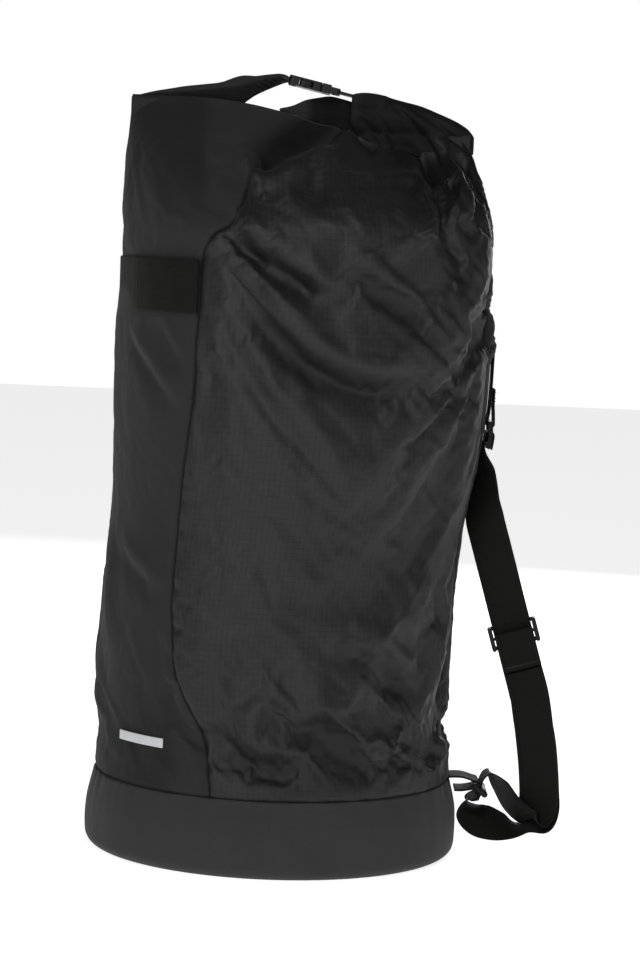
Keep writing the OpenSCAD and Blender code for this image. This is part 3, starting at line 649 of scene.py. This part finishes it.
GRID = skin(ANGLE, ZED)
S, Z, NEAR = side_coordinates(ANGLE, ZED)
HELD = hold(ANGLE, ZED)
front_share = smooth((-S - 95) / 20)
noise_amount = (1 - HELD) * (1 - 0.55 * front_share)
FOLD_GAIN = 1.45
LIFT = FOLD_GAIN * fold_height(S, Z, BIG_FOLDS) * (1 - 0.9 * smooth((HELD - 0.2) / 0.6) * (ZED < 640))
LIFT += noise_amount * 2.2 * crumple(S + 900 * (~NEAR), Z, 3, 26, 3.2, -0.75)
LIFT += noise_amount * 1.2 * crumple(S + 900 * (~NEAR), Z, 8, 12, 2.6, -0.95)
squeeze = np.where(NEAR, smooth((FOLD_LINE + 4 - ZED) / 34), smooth((CROWN - 2 - ZED) / 26))
BASE = GRID + normals_of(GRID) * (LIFT * (0.25 + 0.75 * squeeze))[..., None]


CLOTH_FRAMES, CLOTH_GROWTH, LARGEST_MOVE, BLUR = 22, 0.045, 7.0, 9


def crumpled_by_cloth(grid, held):
    """Lets the tube of cloth grow a little inside its own length, so that it buckles as fabric does."""
    rows, cols = grid.shape[:2]
    o = mesh_object("cloth_trial", grid, grid_faces(rows, cols, wrap=True))
    group = o.vertex_groups.new(name="held")
    for i, w in enumerate(np.clip(0.035 + held, 0, 1).ravel()):
        group.add([i], float(w), "REPLACE")
    cloth = o.modifiers.new("cloth", "CLOTH")
    cs = cloth.settings
    cs.quality = 5
    cs.mass = 0.15
    cs.tension_stiffness = cs.compression_stiffness = 22
    cs.shear_stiffness = 12
    cs.bending_stiffness = 0.9
    cs.tension_damping = cs.compression_damping = cs.shear_damping = 12
    cs.bending_damping = 1.0
    cs.air_damping = 4
    cs.vertex_group_mass = "held"
    cs.pin_stiffness = 0.6
    cs.shrink_min = -CLOTH_GROWTH
    cs.effector_weights.gravity = 0.15
    cloth.collision_settings.use_collision = False
    cloth.collision_settings.use_self_collision = False
    cloth.point_cache.frame_start, cloth.point_cache.frame_end = 1, CLOTH_FRAMES
    for f in range(1, CLOTH_FRAMES + 1):
        SCENE.frame_set(f)
    deps = bpy.context.evaluated_depsgraph_get()
    result = o.evaluated_get(deps).to_mesh()
    co = np.zeros(len(result.vertices) * 3, np.float32)
    result.vertices.foreach_get("co", co)
    co = co.reshape(rows, cols, 3).astype(float) / MM
    SCENE.frame_set(1)
    bpy.data.objects.remove(o)
    move = co - grid
    for axis, ends in ((0, "edge"), (1, "wrap")):
        broad = np.moveaxis(move, axis, 0)
        for _ in range(3):
            pad = np.pad(broad, ((BLUR, BLUR), (0, 0), (0, 0)), mode=ends)
            total = np.cumsum(np.concatenate([np.zeros_like(pad[:1]), pad]), 0)
            broad = (total[2 * BLUR + 1:] - total[:-2 * BLUR - 1]) / (2 * BLUR + 1)
        move = move - 0.5 * np.moveaxis(broad, 0, axis)
    size = np.linalg.norm(move, axis=-1, keepdims=True)
    share = (1 - 0.85 * held) * (1 - 0.72 * front_share) * (0.75 + 0.35 * smooth((S - 60) / 80))
    return grid + move * np.minimum(1, LARGEST_MOVE / np.maximum(size, 1e-6)) * share[..., None]


BASE = crumpled_by_cloth(BASE, HELD)

FINE = finer(finer(BASE, 0), 1, wrap=True)
ANGLE2 = finer(np.concatenate([ANGLE, ANGLE[:, :1] + 360], 1)[..., None], 1)[..., 0][:, :-1]
ANGLE2 = finer(ANGLE2[..., None], 0)[..., 0]
ZED2 = np.repeat(finer(row_z[:, None], 0), ANGLE2.shape[1], 1)
S2, Z2, NEAR2 = side_coordinates(ANGLE2, ZED2)
HELD2 = hold(ANGLE2, ZED2)
lift2 = fold_height(S2, Z2, FINE_FOLDS) * (1 - HELD2 * (ZED2 < 640))
fine_noise = crumple(S2 + 900 * (~NEAR2), Z2, 21, 5.5, 2.2, -0.9)
lift2 += (1 - HELD2) * (1 - 0.6 * smooth((-S2 - 95) / 20)) * 0.55 * fine_noise

# seams pull the cloth in, with small puckers beside them
seam_cols = np.cumsum([0] + [2 * count for count in PANEL_COLS])
seams_and_painted_shade = np.zeros_like(ZED2)
COLS, COLUMN_MM = ANGLE2.shape[1], 2.9
for j, c0 in enumerate(seam_cols[:-1]):
    offset = (np.arange(COLS) - c0 + COLS // 2) % COLS - COLS // 2
    away = np.abs(offset) * COLUMN_MM
    wave = np.array([noise.noise(Vector((z / 9.0, j * 5.0, 1.0))) for z in ZED2[:, 0]])
    wave = np.abs(wave)[:, None] * np.sin(ZED2 / 4.3 + offset[None, :] * 0.22 * (1 if j % 2 else -1))
    lift2 += 1.5 * wave * np.exp(-away / 13)[None, :] * (1 - HELD2)
    lift2 -= 2.0 * np.exp(-(away / 2.4) ** 2)[None, :] * smooth((ZED2 - BASE_H) / 8)
    seams_and_painted_shade[:, offset == 0] = 1
low = ZED2 - BASE_H
along = np.array([noise.noise(Vector((a * SKIN_R / 10, 4.0, 2.0))) for a in np.radians(ANGLE2[0])])
lift2 += 1.4 * along[None, :] * np.exp(-low / 16) * smooth(low / 3)
lift2 -= 2.6 * np.exp(-(low / 2.5) ** 2)
FINE = FINE + normals_of(FINE) * lift2[..., None]
seams_and_painted_shade = np.maximum(seams_and_painted_shade, np.exp(-(low / 1.6) ** 2))
# Painted shade in the near cloth's colour: its top right corner, the front panel's top and bottom, and the fold
# shade lines.
corner = 0.72 * smooth((S2 - 68) / 50) * smooth((Z2 - 596) / 50) + 0.3 * smooth((S2 - 120) / 60)
front2 = smooth((-S2 - 90) / 20)
corner += front2 * (0.44 * smooth((Z2 - 585) / 60) + 0.36 * smooth((190 - Z2) / 90))
seams_and_painted_shade = np.maximum(0.5 * seams_and_painted_shade, np.clip(corner + fold_height(S2, Z2, PAINTED_SHADES), 0, 1) * NEAR2)


# ---- the four panels
CROWN_ROW = int(np.argmin(abs(ZED2[:, 0] - CROWN)))
# rows that carry the near cloth over the fold line: the share of its y and the rise of each
OVER = ((0.72, 0.9), (0.35, 1.5), (-0.15, 1.3), (-0.6, 0.2))


def panel_object(name, k):
    """One panel, cut from the cloth. Only the near half goes up to the fold line."""
    every = np.arange(seam_cols[k], seam_cols[k + 1] + 1)
    cols = every % COLS
    g, a, mark = FINE[:, cols], ANGLE2[:, cols] + 360 * (every >= COLS), seams_and_painted_shade[:, cols].copy()
    mark[:, 0] = mark[:, -1] = 1
    u = SKIN_R * np.radians(a - a[:, :1].mean())
    v = np.repeat(lengths_along(g.mean(1))[:, None], g.shape[1], 1)
    rows = np.stack([g[-1] * (1, share, 1) + (0, 0, rise) for share, rise in OVER])
    g = np.concatenate([g, rows])
    u = np.concatenate([u, np.repeat(u[-1:], len(rows), 0)])
    v = np.concatenate([v, v[-1:] + 2.0 * np.arange(1, len(rows) + 1)[:, None]])
    mark = np.concatenate([mark, np.zeros((len(rows), g.shape[1]))])
    near_col = np.mod(a[0], 360) >= 179.9
    width = g.shape[1]
    faces = [f for f in grid_faces(*g.shape[:2])
             if f[0] // width < CROWN_ROW or (near_col[f[0] % width] and near_col[f[1] % width])]
    used = np.unique(np.array(faces))
    at = np.full(g.shape[0] * g.shape[1], -1)
    at[used] = np.arange(len(used))
    return mesh_object(name, g.reshape(-1, 3)[used], [tuple(at[i] for i in f) for f in faces],
                       np.stack([u.ravel(), v.ravel()], -1)[used], mark.ravel()[used])


piece(panel_object("side_fabric_near", 0), "bag", RIPSTOP, ["side_panel_near"])
piece(panel_object("back_fabric", 1), "bag", HEAVY, ["back_panel"])
piece(panel_object("side_fabric_far", 2), "bag", RIPSTOP, ["side_panel_far"])
piece(panel_object("front_fabric", 3), "bag", HEAVY, ["front_panel"])

# tape on the seams, inside
TAPE_DEPTH = 3.4
parts = []
for k in range(4):
    line = FINE[3:-60, seam_cols[k]]
    n = normals_of(FINE)[3:-60, seam_cols[k]]
    side = unit(np.cross(n, [0, 0, 1.0]))
    strip = np.stack([line - n * TAPE_DEPTH + side * w - n * abs(w) * 0.1 for w in (-6, -3, 0, 3, 6)], 1)
    parts.append((strip.reshape(-1, 3), grid_faces(*strip.shape[:2])))
piece(joined("seam_tape", parts), "bag", TAPE, ["seam_bindings"])


# ---- base band
def base_band():
    cols = 288
    a = np.arange(cols) * 2 * math.pi / cols
    arc = np.radians(np.arange(0, 91, 11.25))
    profile = [(160.0, 0.4), (166.0, 0.0)] + [(170 + 12 * math.sin(t), 12 - 12 * math.cos(t)) for t in arc]
    profile += [(182.2, 18), (182.2, 25), (182.0, 32), (181.6, 39), (181.0, 46), (179.9, 52), (178.6, 58),
                (177.2, 63), (176.0, 67), (175.2, 70), (174.6, 71.8), (173.4, 72.9), (171.6, 73.2),
                (169.5, 72.4)]
    prof = curve_through(profile, 2)
    rows = []
    for r, z in prof:
        puck, slow = (np.array([noise.noise(Vector((math.cos(t) * size, math.sin(t) * size, at))) for t in a])
                      for size, at in ((14, 3.0 + z * 0.012), (2.2, 9.0 + z * 0.02)))
        top = math.exp(-abs(z - 70) / 15) * (z < 72.5) + 0.12
        rise = smooth(z / 14)
        d = 2.4 * puck * top * rise + 1.5 * slow * rise * (z < 72) - 0.9
        rows.append(ring(a, r + d, z))
    g = np.stack(rows)
    run = lengths_along(prof)
    g = np.concatenate([g, g[:, :1]], 1)
    uv = pairs(np.linspace(0, 2 * math.pi * 180, cols + 1)[None, :], run[:, None])
    mark = np.repeat((prof[:, 1] > 72.5).astype(float)[:, None], cols + 1, 1)
    return mesh_object("base_band_fabric", g, grid_faces(*g.shape[:2]), uv, mark)


piece(base_band(), "bag", HEAVY_BASE, ["base_band"])


def disc(name, r, z, thick):
    cols, rings = 96, 14
    a = np.arange(cols) * 2 * math.pi / cols
    top = z + thick
    profile = [(0.5, top)] + [(r * k / rings, top) for k in range(1, rings)]
    profile += [(r - 0.6, top), (r, top - 0.5), (r, z + 0.5), (r - 0.6, z)]
    profile += [(r * k / rings, z) for k in range(rings - 1, 0, -1)] + [(0.5, z)]
    g = np.stack([ring(a, q, h) for q, h in profile])
    return mesh_object(name, g, grid_faces(*g.shape[:2], wrap=True, flip=True), g[..., :2], 0 * g[..., 0])


piece(disc("base_fabric", 169.4, 0.15, 1.9), "bag", HEAVY, ["base_panel"])

# ---- rolled mouth
ROLL_SIDE = 14 / 2 - 0.8
ROLL = [(-ROLL_SIDE, -9), (-ROLL_SIDE, 6), (-ROLL_SIDE, 19), (-4.2, 22.6), (4.2, 22.6), (ROLL_SIDE, 20),
        (ROLL_SIDE, 3), (4.4, 1.2), (-1.6, 1.2), (-3.4, 3), (-3.4, 18), (-2, 20), (2, 20), (3.6, 18), (3.6, 5)]


def rolled_mouth():
    section = curve_through(ROLL, 4)
    tangent = unit(np.gradient(section, axis=0))
    side = np.stack([-tangent[:, 1], tangent[:, 0]], -1)
    outline = np.concatenate([section + side * 0.8, (section - side * 0.8)[::-1]])
    xs = np.linspace(-160.5, 166.5, 90)
    rows = []
    for x in xs:
        w = np.array([noise.noise(Vector((x / 22, p[0] / 9, p[1] / 12))) for p in outline])
        rows.append(np.stack([np.full(len(outline), x), outline[:, 0] + 0.8 * w,
                              lip(x) - ROLL_H + outline[:, 1] - 0.4 + 0.4 * w], -1))
    g = np.stack(rows)
    n = g.shape[1]
    run = lengths_along(outline)
    uv = pairs(xs[:, None], run[None, :])
    faces = grid_faces(len(xs), n, wrap=True) + [f[::-1] for f in end_caps(len(xs), n)]
    return mesh_object("mouth_roll", g, faces, uv, 0 * g[..., 0], sharp=50)


piece(rolled_mouth(), "bag", HEAVY, ["rolled_mouth"])


# ---- the two arms of the closure
def arm(name, stations, sides, pleat, seed, shade):
    """A gathered arm of cloth. Each station is x, bottom, top, front half depth, back half depth and ridge:
    the share of the height at which the arm stands out most."""
    data = curve_through(np.array(stations, float), 8)
    a = (np.arange(sides) + 0.5) * 2 * math.pi / sides
    rows, dark = [], []
    for x, zb, zt, f, b, ridge in data:
        h = 0.5 + 0.5 * np.sin(a)
        reach = np.where(h < ridge, h / max(ridge, 0.05), (1 - h) / max(1 - ridge, 0.05))
        depth = np.clip(reach, 0, 1) ** 0.62
        y = np.where(np.cos(a) > 0, -f * depth, b * np.sqrt(np.clip(4 * h * (1 - h), 0, 1)))
        z = zb + (zt - zb) * h
        w = np.array([noise.noise(Vector((x / 30, p / 7 + seed, q / 6))) for p, q in zip(z, y)])
        lines = np.sin(z * 1.05 + x * 0.05 + seed) * 0.5
        side = np.where(np.cos(a) > 0, -1.0, 1.0) * np.clip(reach * 2.5, 0, 1)
        rows.append(np.stack([np.full(sides, x), y + side * pleat * (w + lines), z + 0.5 * pleat * w], -1))
        # shade gives each point's painted shade, a darkening in its colour where the arm would be in shade.
        dark.append(shade(x, z, y))
    g = np.stack(rows)
    uv = pairs(data[:, :1], (a * 9)[None, :])
    return mesh_object(name, g, tube_faces(g), uv, dark)


# Painted shade on the left arm: darker below its top edge on the near face, and in stripes across the folds
# towards its right end.
left = arm("arm_left", [
    (-159.5, 720.5, 723, 2, 2, 0.5), (-140, 721, 728, 4.5, 4, 0.5), (-115, 720.6, 733.2, 6.5, 4.5, 0.5),
    (-92, 719.6, 736.8, 8, 5, 0.5), (-75, 718.8, 739.6, 8.5, 5.5, 0.52), (-61, 718.2, 745, 9, 6, 0.55),
    (-54, 719, 746.6, 9, 7, 0.6), (-49, 722.4, 746.8, 9, 7.5, 0.62), (-42, 727.4, 746.6, 9, 8, 0.62),
    (-34, 731.8, 747.8, 9.5, 9, 0.6), (-26, 735.6, 749, 10, 10, 0.55), (-19, 738.8, 749.8, 10.5, 10.5, 0.5),
    (-14, 740.8, 749, 10.5, 10.5, 0.5), (-10.6, 741.6, 747.6, 9, 9, 0.5)],
    44, 0.8, 2.0, lambda x, z, y: np.where(y < 1, 0.88 * smooth(1 + (np.interp(
        x, [-158, -120, -86, -67, -46, -31, -15], [723, 727, 730.5, 733.5, 738.5, 743, 746]) - z) / 2.0)
        + 0.35 * np.sin((z + 0.5 * x) * 1.3) * smooth((x + 52) / 18), 0))
piece(left, None, HEAVY, ["left_arm"])
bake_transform(left)

# Painted shade on the right arm, the back wall of the mouth's pocket: darker from about x = 6 mm on, rippled
# across its pleats.
wall = arm("arm_right", [
    (-18, 713.2, 716.5, 1.0, 1.0, 0.5), (-6, 706.0, 719.5, 1.4, 1.4, 0.5), (6, 700.5, 725.0, 1.6, 1.6, 0.5),
    (17, 696.0, 727.6, 2.0, 2.0, 0.5), (30, 691.5, 730.2, 2.4, 2.4, 0.5), (42, 687.5, 728.2, 2.6, 2.6, 0.5),
    (54, 686.0, 724.8, 2.8, 2.8, 0.5), (66, 686.0, 721.6, 2.8, 2.8, 0.5)],
    40, 1.0, 5.0, lambda x, z, y: 1.12 * smooth((x - 6) / 12) - 0.1 * np.cos(x / 3.4) + 0 * z)
piece(wall, None, HEAVY, ["right_arm"])
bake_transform(wall)


def near_face(x, z):
    """How far the near skin stands out at x and height z, and where that is on the cloth."""
    n = z + 0.0 * x
    for _ in range(8):
        n = z - smooth((n - SHOULDER) / (CROWN - SHOULDER)) * (lip(x) - ROLL_H - CROWN)
    across = np.clip((x - mid(n)) / half_x(n), -1, 1)
    return near_y(n) * np.sqrt(1 - across ** 2), SKIN_R * np.arcsin(across), n


def gather():
    """The mouth's right end: side cloth swept up over the roll in long folds that start at the buckle."""
    data = curve_through(np.array([
        (51, 700, 731, 15, 3), (54, 694, 732.6, 16, 5), (62, 686, 733.8, 16.5, 7), (72, 682, 733.6, 16.5, 9),
        (85, 680, 731.4, 16, 12), (100, 678, 728, 14, 13), (118, 676, 724, 12, 12), (135, 676, 717.8, 10, 10),
        (150, 676, 711.8, 7.5, 7.5), (160, 676, 706.5, 5, 5), (166, 677, 702, 3, 3),
        (170.5, 680, 696, 1.5, 1.5)], float), 9)
    rows, dark = [], []
    for x, zb, zt, f, b in data:
        t = np.linspace(0, 1, 46)
        z = zb + (zt - zb) * (1 - (1 - t) ** 1.25)
        out, q, n = near_face(x, z)
        big, fine = fold_height(q, n, BIG_FOLDS), fold_height(q, n, FINE_FOLDS)
        out = out + 0.8 + 1.2 * big * (0.25 + 0.75 * smooth((FOLD_LINE + 4 - n) / 34)) + fine
        h = np.clip((z - 694) / (zt - 694), 0, 1)
        own = f * np.sqrt(4 * h * (1 - h)) + 0.35 * big + 0.8 * fine
        top = np.clip((zt - z) / 7, 0, 1)
        flap = 1 - smooth((x - 83) / 9)
        held_off = f * smooth((z - 698) / 24) + 0.35 * big + 0.8 * fine
        own = np.maximum(own, flap * held_off)
        y = -0.5 * (out + own + np.sqrt((out - own) ** 2 + 9))
        y = y * (flap + (1 - flap) * np.sqrt(top * (2 - top))) + 4 * smooth((zb + 7 - z) / 7)
        zz = np.linspace(zt, 690, 15)[1:]
        h = (zz - 690) / (zt - 690)
        back = flap * (np.interp(zz, z, y) + 1.6) + (1 - flap) * b * np.sqrt(np.clip(4 * h * (1 - h), 0, 1))
        y, z = np.concatenate([y, back]), np.concatenate([z, zz])
        rows.append(np.stack([np.full(len(y), x), y, z], -1))
        # Painted shade on its near face: darker all over, least at its right end, and along the fold shade
        # lines.
        corner = 0.72 * smooth((q - 68) / 50) + 0.55 * smooth((110 - q) / 40) - 0.3 * smooth((q - 150) / 20)
        dark.append(np.concatenate([np.clip(corner + fold_height(q, n, PAINTED_SHADES), 0, 0.95), 0 * zz]))
    g = np.stack(rows)
    run = np.cumsum(np.linalg.norm(np.diff(g, axis=1, prepend=g[:, :1]), axis=-1), axis=1)
    uv = pairs(data[:, :1], run)
    return mesh_object("arm_right_gather", g, tube_faces(g), uv, dark)


swept = gather()
piece(swept, None, RIPSTOP_SWEPT, ["right_arm"])
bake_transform(swept)


# ---- grab handle
def handle_place(a):
    lifted = smooth((31 - abs(a)) / 12)
    u = 180 + a
    outward = np.array([math.cos(math.radians(u)), math.sin(math.radians(u)), 0])
    sewn = skin(u, HANDLE_Z) + 3.6 * outward
    free = skin(u, HANDLE_Z, -dent(u, HANDLE_Z)) - 0.4 * outward
    return sewn * (1 - lifted) + free * lifted, outward


stations = [(handle_place(a)[0], (0, 0, 1)) for a in np.arange(-57.6, 57.7, 4.8)]
strip = ribbon("handle_webbing", stations, 50, 1.8, 6, wobble=0.7, seed=4)
piece(strip, "bag", WEB_HANDLE, ["grab_handle"])
lines = []
for a in (-30.6, -28.4, 28.4, 30.6):
    p, o = handle_place(a)
    zs = np.linspace(-23.5, 23.5, 30)
    lines.append((p + (o * 1.0)[None, :] + np.stack([0 * zs, 0 * zs, zs], -1), o))
piece(stitches("handle_thread", lines, 0.34, 2.4, 3.3), "bag", THREAD, ["handle_stitch_bars"])

# ---- reflective tab
stations = [(skin(224 + k * 2.6, 118, -1.1), (0, 0, 1)) for k in range(-4, 5)]
tab = ribbon("reflective_mark", stations, 9, 0.5, 4)
piece(tab, "bag", SHINY, ["reflective_tab"])

# ---- strap
LOCK, RING_IN, RING_OUT = np.array([198, 0, 421.5]), np.array([198.5, 0, 68.5]), np.array([208.3, 0, 60.5])
WIRE, STRAP_W, WEB_T, SLOPE, SLIDER = 2.6, 38, 1.8, 0.3, np.array([231, 0, 216])
RUN = unit(np.array([-SLOPE, 0, 1.0]))
RUN_WIDE = np.array([RUN[2], 0, -RUN[0]])
LAYER = 1.5
SPLIT, BEND = 312, 153


def on_run(z, y):
    return np.array([SLIDER[0] - SLOPE * (z - SLIDER[2]), y, z])


def level(places, way=1):
    """Stations of webbing whose width lies along y."""
    return [(p, (0, way, 0)) for p in places]


def round_bar(place, out_r, angles, way=1):
    """Stations round a bar along y."""
    turns = np.radians(angles)
    return level(place + out_r * np.stack([np.cos(turns), 0 * turns, np.sin(turns)], -1), way)


tab = ribbon("upper_tab_webbing", level([(198.3, 0, 490), (197.7, 0, 460), (196.6, 0, 435)])
                 + round_bar(LOCK, 3.4, range(180, 361, 36))
                 + level([(201, 0, 431), (200.4, 0, 440), (200.6, 0, 455)]), STRAP_W - 2, WEB_T, 5)
piece(tab, "bag", WEB, ["upper_tab"])
lines = []
for z in (443, 446, 452):
    ys = np.linspace(-15, 15, 20)
    lines.append((np.stack([0 * ys + 201.6, ys, 0 * ys + z], -1), (1, 0, 0)))
piece(stitches("upper_tab_thread", lines, 0.4, 2.4, 3.3), "bag", THREAD, ["upper_tab_stitches"])
tab = ribbon("lower_tab_webbing", level([(172, 0, 74.8), (177, 0, 75.6), (187, 0, 75.4)])
                 + round_bar(RING_IN, WIRE + 1.3, range(100, -101, -40))
                 + level([(187, 0, 62.6), (179, 0, 62.4)]), STRAP_W - 2, WEB_T, 5)
piece(tab, "bag", WEB, ["lower_tab"])

TOP_RUN = level(LOCK + [(2, 0, -25), (3.4, 0, -15), (3.2, 0, -10), (0, 0, -7.4), (-3.4, 0, -11), (-5, 0, -23)],
                -1) + [
    ((194.3, 3, 380), (0.475, -0.88, 0)), ((195.1, 4, 362), (0.675, -0.738, 0)),
    ((195.4, 4.5, 344), (0.85, -0.527, 0.1)), ((198.2, 4, 326), (0.95, -0.15, 0.25)),
    (on_run(SPLIT, 3.5), RUN_WIDE)]
MAIN_RUN = [(on_run(z, y), RUN_WIDE) for z, y in ((SPLIT, 3.5), (290, LAYER), (216, LAYER), (BEND, LAYER))]
LOW_BEND = [
    (on_run(BEND, LAYER), RUN_WIDE), ((253.4, 1.5, 133), (0.97, 0, 0.24)),
    ((258.8, 1.5, 107), (0.99, 0, 0.14)), ((262.2, 1.6, 80), (1, 0, 0.05)),
    ((264, 2, 60), (1, 0, 0)), ((265, 2.2, 44), (0.97, -0.2, 0)), ((262.1, 1, 30.4), (0.72, -0.69, -0.1)),
    ((247, -2.1, 25.4), (0.17, -1, -0.06)), ((231, -6, 27), (0, -0.86, -0.5)),
    ((216, -8, 29.5), (-0.1, -0.68, -0.73)), ((203.4, -6.1, 33.1), (-0.18, -0.67, -0.75)),
    ((194, -2, 41.5), (-0.3, -0.8, -0.5)), ((192.5, 0, 51), (-0.1, -0.98, -0.1)),
    ((201.7, 0.6, 55.9), (0.1, -0.98, -0.06))] + round_bar(RING_OUT, WIRE + 1.55, (200, 165), -1)
RETURN_RUN = round_bar(RING_OUT, WIRE + 1.55, (158,), -1) + [
    ((204.9, 0, 69), (0, -1, 0)), ((208.5, -0.5, 76.5), (0, -1, 0)), ((215, -1, 78), (0.1, -0.98, 0.1)),
    ((224.3, 0, 67.1), (0.14, -0.86, 0.49)), ((236.5, 0, 49), (0.25, -0.8, 0.5)),
    ((249.5, -3.5, 38.3), (0.43, -0.79, 0.36)), ((258.5, -2.5, 36.5), (0.8, -0.55, 0.2)),
    ((262, -2.5, 48), (0.97, -0.2, 0)), ((262.5, -2.2, 59.7), (1, -0.06, 0)), ((261.7, -1.6, 72), (1, 0, 0)),
    ((260.2, -1.5, 88), (1, 0, 0.05)), ((256.9, -1.5, 112), (0.99, 0, 0.14)),
    (on_run(BEND, -LAYER), RUN_WIDE), (on_run(180, -LAYER), RUN_WIDE)]
top_strap = ribbon("strap_top", TOP_RUN, STRAP_W, WEB_T, 10, wobble=0.5, seed=2)
piece(top_strap, None, WEB, ["strap_top_run"])
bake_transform(top_strap)
main_strap = ribbon("strap_main", MAIN_RUN, STRAP_W, WEB_T, 16, cup=0.3, seed=3)
piece(main_strap, "strap", WEB, ["strap_main_run"])
low_strap = ribbon("strap_low", LOW_BEND, STRAP_W, WEB_T, 10, wobble=0.15, seed=5)
piece(low_strap, None, WEB, ["strap_low_bend"])
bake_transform(low_strap)
return_strap = ribbon("strap_return", RETURN_RUN, STRAP_W, WEB_T, 10, wobble=0.15, seed=6)
piece(return_strap, None, WEB, ["strap_return_run"])
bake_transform(return_strap)


# the sewn end over the slider's bar
def at_slider(p):
    """Places given in the slider's own frame: across the strap, out of it and along it."""
    p = np.asarray(p, float)
    return SLIDER + p[..., :1] * RUN_WIDE + p[..., 1:2] * np.array([0, 1.0, 0]) + p[..., 2:3] * RUN


fold = at_slider([(0, -1.4, -35), (0, -1.4, -20), (0, -1.4, -4), (0, -1.2, 1.4), (0, -2.6, 3.4), (0, -4.2, 3),
                  (0, -4.7, 0.8), (0, -4.6, -4), (0, -4.4, -20), (0, -4.3, -34.6)])
end_fold = ribbon("strap_end_webbing", [(p, RUN_WIDE) for p in fold], STRAP_W, 0.9, 6)
piece(end_fold, "slider", WEB, ["strap_end_fold"])
xs = np.linspace(-17, 17, 23)
zig = np.stack([xs, 0 * xs - 4.9, -31.2 + 1.5 * (np.arange(23) % 2)], -1)
piece(stitches("strap_end_thread", [(at_slider(zig), (0, -1, 0))], 0.40, 1.5, 1.9),
      "slider", THREAD)

# ---- CAD parts that keep their shape
EDGE_ROUND = 0.0004
KEPT = [
    (PLASTIC, ["buckle_socket", "buckle_insert", "prong_near", "prong_far", "ladder_lock", "slider",
               "lower_ring"]),
    (WEB_SMALL, ["socket_webbing", "insert_webbing", "rope_loop_base", "rope_loop_top"]),
    (BOARD, ["base_stiffener", "mouth_stiffener"]), (TAPE, ["base_seam_binding"])]
for material, names in KEPT:
    for o in (NODES[name] for name in names):
        o.data.materials.clear()
        o.data.materials.append(material)
        if material is PLASTIC:
            edge = o.modifiers.new("edge", "BEVEL")
            edge.width, edge.segments, edge.limit_method = EDGE_ROUND, 2, "ANGLE"
            edge.angle_limit = math.radians(40)
